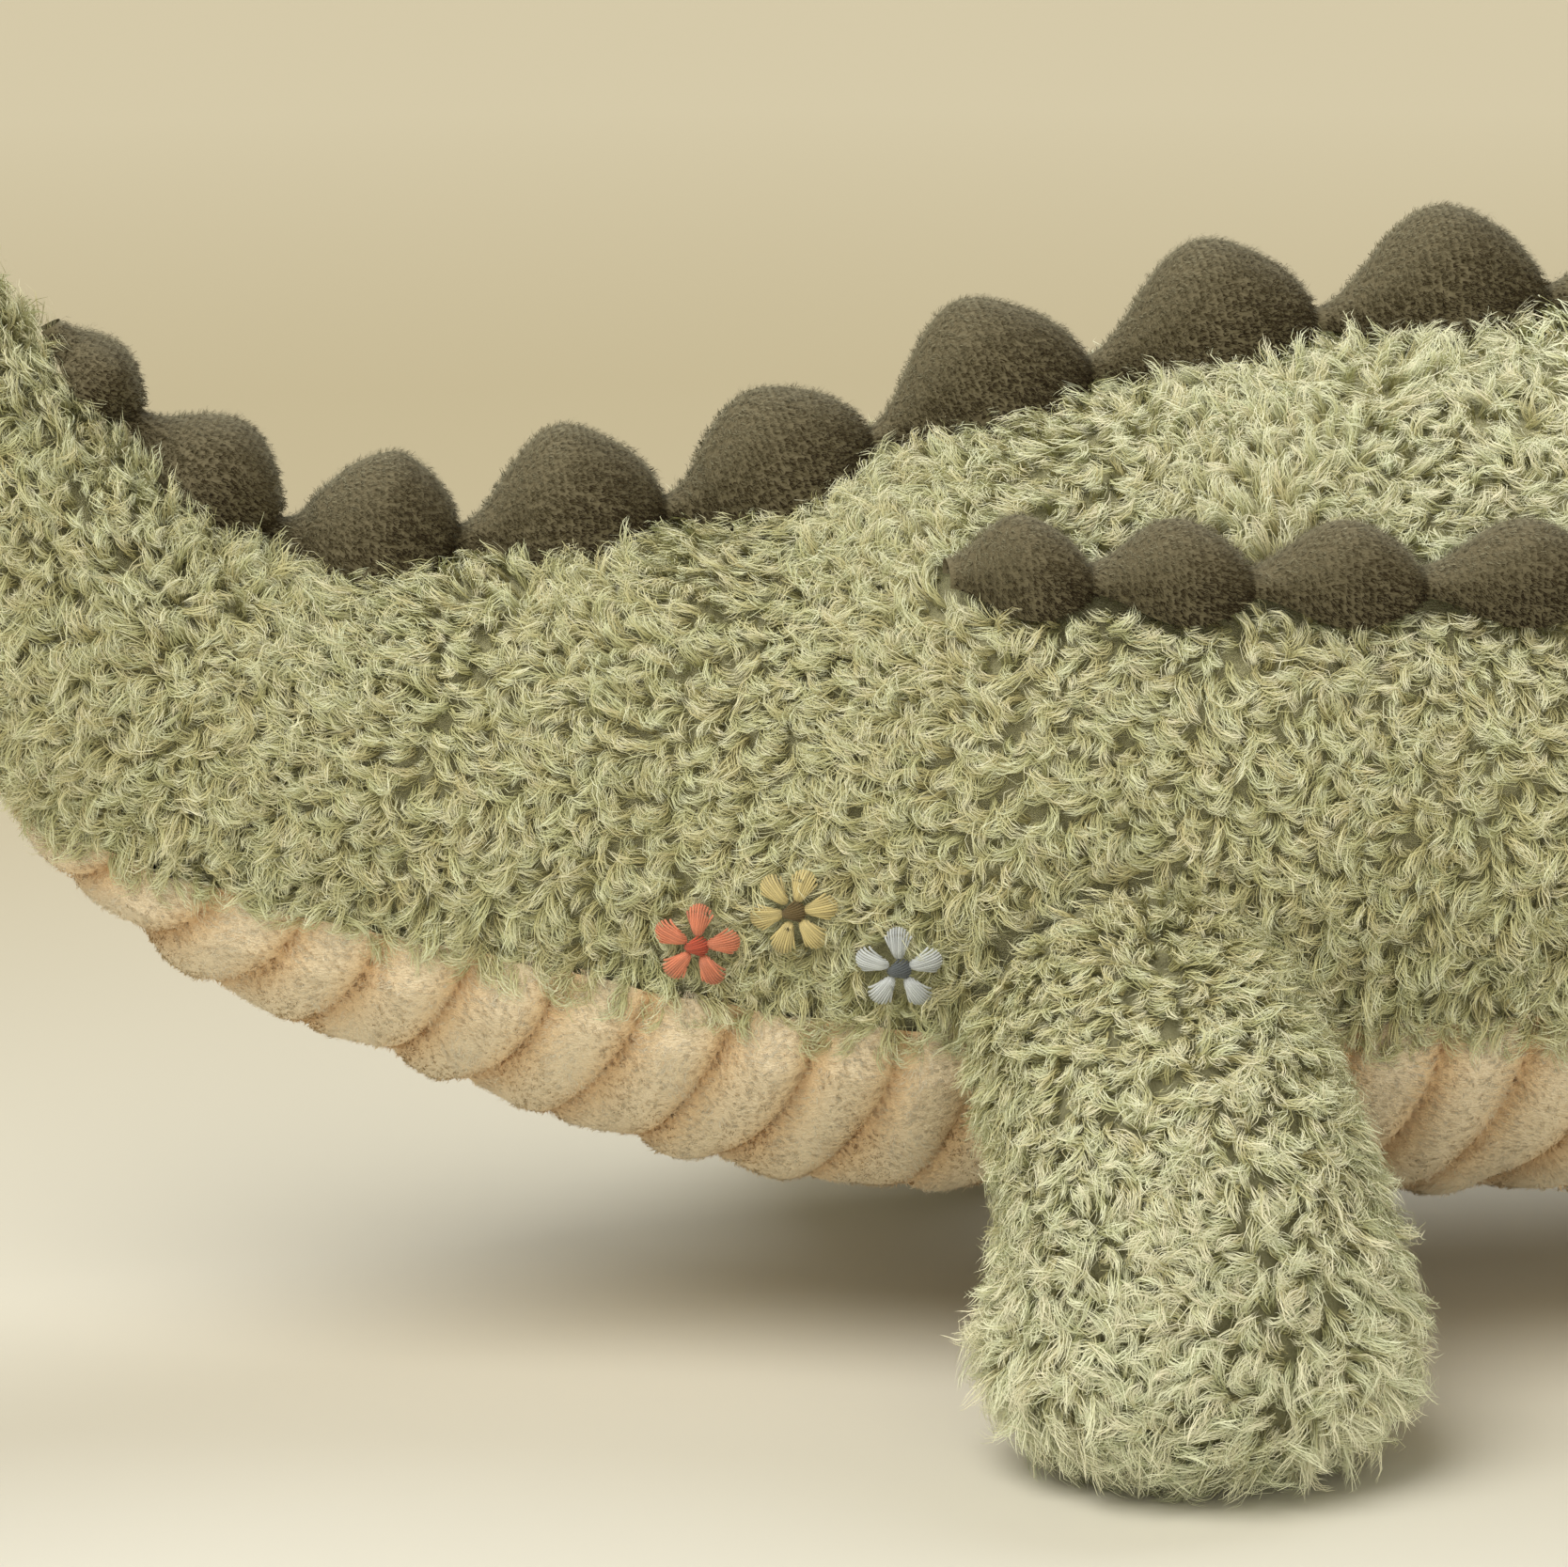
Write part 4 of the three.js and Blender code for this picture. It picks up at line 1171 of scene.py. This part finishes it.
for colour, (petals, code, heart_code) in flower_threads.items():
    place = flower_places[colour]
    thread = thread_material(f"{colour} embroidery thread", code)
    heart_thread = thread_material(f"{colour} heart thread", heart_code)
    turns = [2 * math.pi * (petal + first_petal_share) / petals for petal in range(petals)]
    paths = np.concatenate([
        leaf_paths(*place, turn, petal_start, petal_length, petal_width) for turn in turns
    ])
    flower = make_threads(f"flower_{colour}_stitches", paths, thread)
    heart = leaf_paths(*place, knot_turn, -knot_radius, 2 * knot_radius, 2 * knot_radius)
    knot = make_threads(f"flower_{colour}_knot", heart, heart_thread)
    for piece in (flower, knot):
        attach(piece, "torso")
    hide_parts(f"flower_{colour}")


# Face: two stuffed brow mounds of the curly cloth, each with a glossy black button eye, and two
# stitched nostrils on the snout.
brow_place = 14.7 / last_station
brow_angle = math.radians(33)
mound_radius = 0.014
mound_sink = 0.003
mound_reach = math.radians(115)
mound_rows = 30
mound_columns = 40
mound_backing_shares = (0.001, 1)
mound_pile_shares = (0.02, 1)
mound_pile_length = 0.00493
mound_lie = pile_lie | {"swirl": 0.4, "scatter": 0.4}
eye_radius = 0.0055
eye_cover_share = 0.9
eye_bulge = 0.0036
eye_lift = 0.0006
eye_tilt = math.radians(71)
eye_turn = math.radians(58)
eye_rows = 16
eye_columns = 48
eye_middle_share = 1e-3
scuffs_across = 400
scuff_depth = 0.0001
nostril_place = 17.7 / last_station
nostril_angle = math.radians(28)

# Moulded acrylic buttons are smooth as glass, with the faintest scuffs
eye_plastic, tree, shader = start_material("gloss black plastic", Roughness=0.08, Specular_IOR_Level=0.6)
shader.inputs["Base Color"].default_value = srgb("#17130F")
scuffs = add_node(tree, "ShaderNodeTexNoise", Scale=scuffs_across, Detail=3)
scuff_bump = add_node(
    tree, "ShaderNodeBump", {"Height": scuffs.outputs["Fac"]}, Strength=0.04, Distance=scuff_depth
)
tree.links.new(scuff_bump.outputs["Normal"], shader.inputs["Normal"])
dark_thread = thread_material("dark embroidery thread", "#3E3427")

brow_spot = (np.array([brow_place]), np.array([brow_angle]))
right_brow = body(*brow_spot)[0]
right_out = facing(body, *brow_spot)[0]
right_aim = np.array([
    math.sin(eye_tilt) * math.cos(eye_turn),
    -math.sin(eye_tilt) * math.sin(eye_turn),
    math.cos(eye_tilt),
])


# Points of one brow mound: shares from 0 on its top to 1 under the cloth, angles round its top
def mound_surface(centre, out):
    forward = unit(np.cross(out, np.array([0, 1, 0])))
    sideways = np.cross(-out, forward)

    def surface(share, angle, grow=0.0):
        polar = share * mound_reach
        ring = np.cos(angle)[:, None] * forward + np.sin(angle)[:, None] * sideways
        way = np.cos(polar)[:, None] * out + np.sin(polar)[:, None] * ring
        return centre + (mound_radius + grow) * way

    return surface


for side, mirror in (("right", 1), ("left", -1)):
    flip = np.array([1, mirror, 1])
    out, aim = right_out * flip, right_aim * flip
    centre = right_brow * flip - out * mound_sink
    mound = mound_surface(centre, out)
    shares = np.linspace(*mound_backing_shares, mound_rows)
    grid = surface_grid(mound, shares, *all_round(shares), mound_columns, grow=-pile_depth)
    backing = make_cloth(f"eye_mound_{side}_backing", grid, {}, backing_cloth)
    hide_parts(f"eye_mound_{side}")
    share, angle = places_on(mound, mound_pile_shares, all_round, far_pile["spacing"])
    roots = mound(share, angle, grow=-pile_depth)
    outs = facing(mound, share, angle)
    clear = np.linalg.norm(np.cross(roots - centre, aim), axis=1) > eye_radius * eye_cover_share
    clear |= (roots - centre) @ aim < 0
    roots, outs = roots[clear], outs[clear]
    leans = leaning(roots, outs, body_flow, far_pile["spacing"], **mound_lie)
    points = tuft_points(roots, outs, leans, mound_pile_length, pile_rise, pile_curl, far_pile)
    tones = random.uniform(*straw_spread, len(roots))
    for piece in [backing, *make_tufts(f"eye_mound_{side}_pile", points, tones, curly_pile)]:
        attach(piece, "head")

    polar = np.linspace(0, math.pi / 2, eye_rows)[:, None, None]
    turn = np.linspace(0, 2 * math.pi, eye_columns)[None, :, None]
    first = unit(np.cross(aim, np.array([0, 0, 1])))
    second = np.cross(aim, first)
    ring = np.maximum(np.sin(polar), eye_middle_share) * eye_radius
    base = centre + aim * (mound_radius - eye_bulge / 2 + eye_lift)
    grid = base + ring * (np.cos(turn) * first + np.sin(turn) * second) + np.cos(polar) * eye_bulge * aim
    eye = make_cloth(f"eye_button_{side}", grid, {}, eye_plastic)
    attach(eye, "head")
    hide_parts(f"eye_{side}")

    stitches = leaf_paths(
        nostril_place, nostril_angle, 0, -nostril_length / 2, nostril_length, nostril_width
    )
    nostril = make_threads(f"nostril_{side}_stitches", stitches * flip, dark_thread)
    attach(nostril, "head")
    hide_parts(f"nostril_{side}")


# Stage: plain pale paper that turns to warm beige away from a place in front of the toy. Soft
# light comes from the upper left, with a cooler one from behind and a weaker one from the front.
floor_size = 7.0
pale_middle = (-0.05, -0.22, 0)
fade_reach = 1.6
fade_tones = [(0.12, "#D6D5CA"), (0.37, "#AFA68A"), (0.6, "#ADA488"), (1, "#B9B29A")]
# The way to each light, its spread in degrees, its strength and its colour
suns = {
    "key": ((-0.50, -0.45, 1.0), 40, 2.5, "#FFF9F0"),
    "back": ((0.45, 0.5, 0.9), 40, 1.3, "#F4F8FF"),
    "fill": ((0.0, -1, 0.12), 60, 1.1, "#FFF5E8"),
}
studio_tone = "#F4EAD4"
studio_strength = 0.40

floor_mesh = bpy.data.meshes.new("floor")
reach = floor_size / 2
floor_corners = [(-reach, -reach, 0), (reach, -reach, 0), (reach, reach, 0), (-reach, reach, 0)]
floor_mesh.from_pydata(floor_corners, [], [(0, 1, 2, 3)])
floor = bpy.data.objects.new("floor", floor_mesh)
bpy.context.scene.collection.objects.link(floor)
paper, tree, shader = start_material("pale studio paper", Roughness=0.9, Specular_IOR_Level=0.1)
place = add_node(tree, "ShaderNodeTexCoord")
distance = add_node(tree, "ShaderNodeVectorMath", {0: place.outputs["Object"]}, operation="DISTANCE")
distance.inputs[1].default_value = pale_middle
far = add_node(tree, "ShaderNodeMapRange", {"Value": distance.outputs["Value"]}, From_Max=fade_reach)
paper_tone = add_node(tree, "ShaderNodeValToRGB", {"Fac": far.outputs["Result"]})
set_ramp(paper_tone, fade_tones)
tree.links.new(paper_tone.outputs["Color"], shader.inputs["Base Color"])
floor_mesh.materials.append(paper)

for name, (way, spread, power, code) in suns.items():
    data = bpy.data.lights.new(name, "SUN")
    data.angle = math.radians(spread)
    data.energy = power
    data.color = srgb(code)[:3]
    light = bpy.data.objects.new(name, data)
    light.rotation_euler = Vector(way).to_track_quat("Z", "Y").to_euler()
    bpy.context.scene.collection.objects.link(light)

world = bpy.data.worlds.new("studio")
world.use_nodes = True
background = world.node_tree.nodes["Background"]
background.inputs["Color"].default_value = srgb(studio_tone)
background.inputs["Strength"].default_value = studio_strength
bpy.context.scene.world = world
bpy.context.scene.view_settings.view_transform = "Standard"
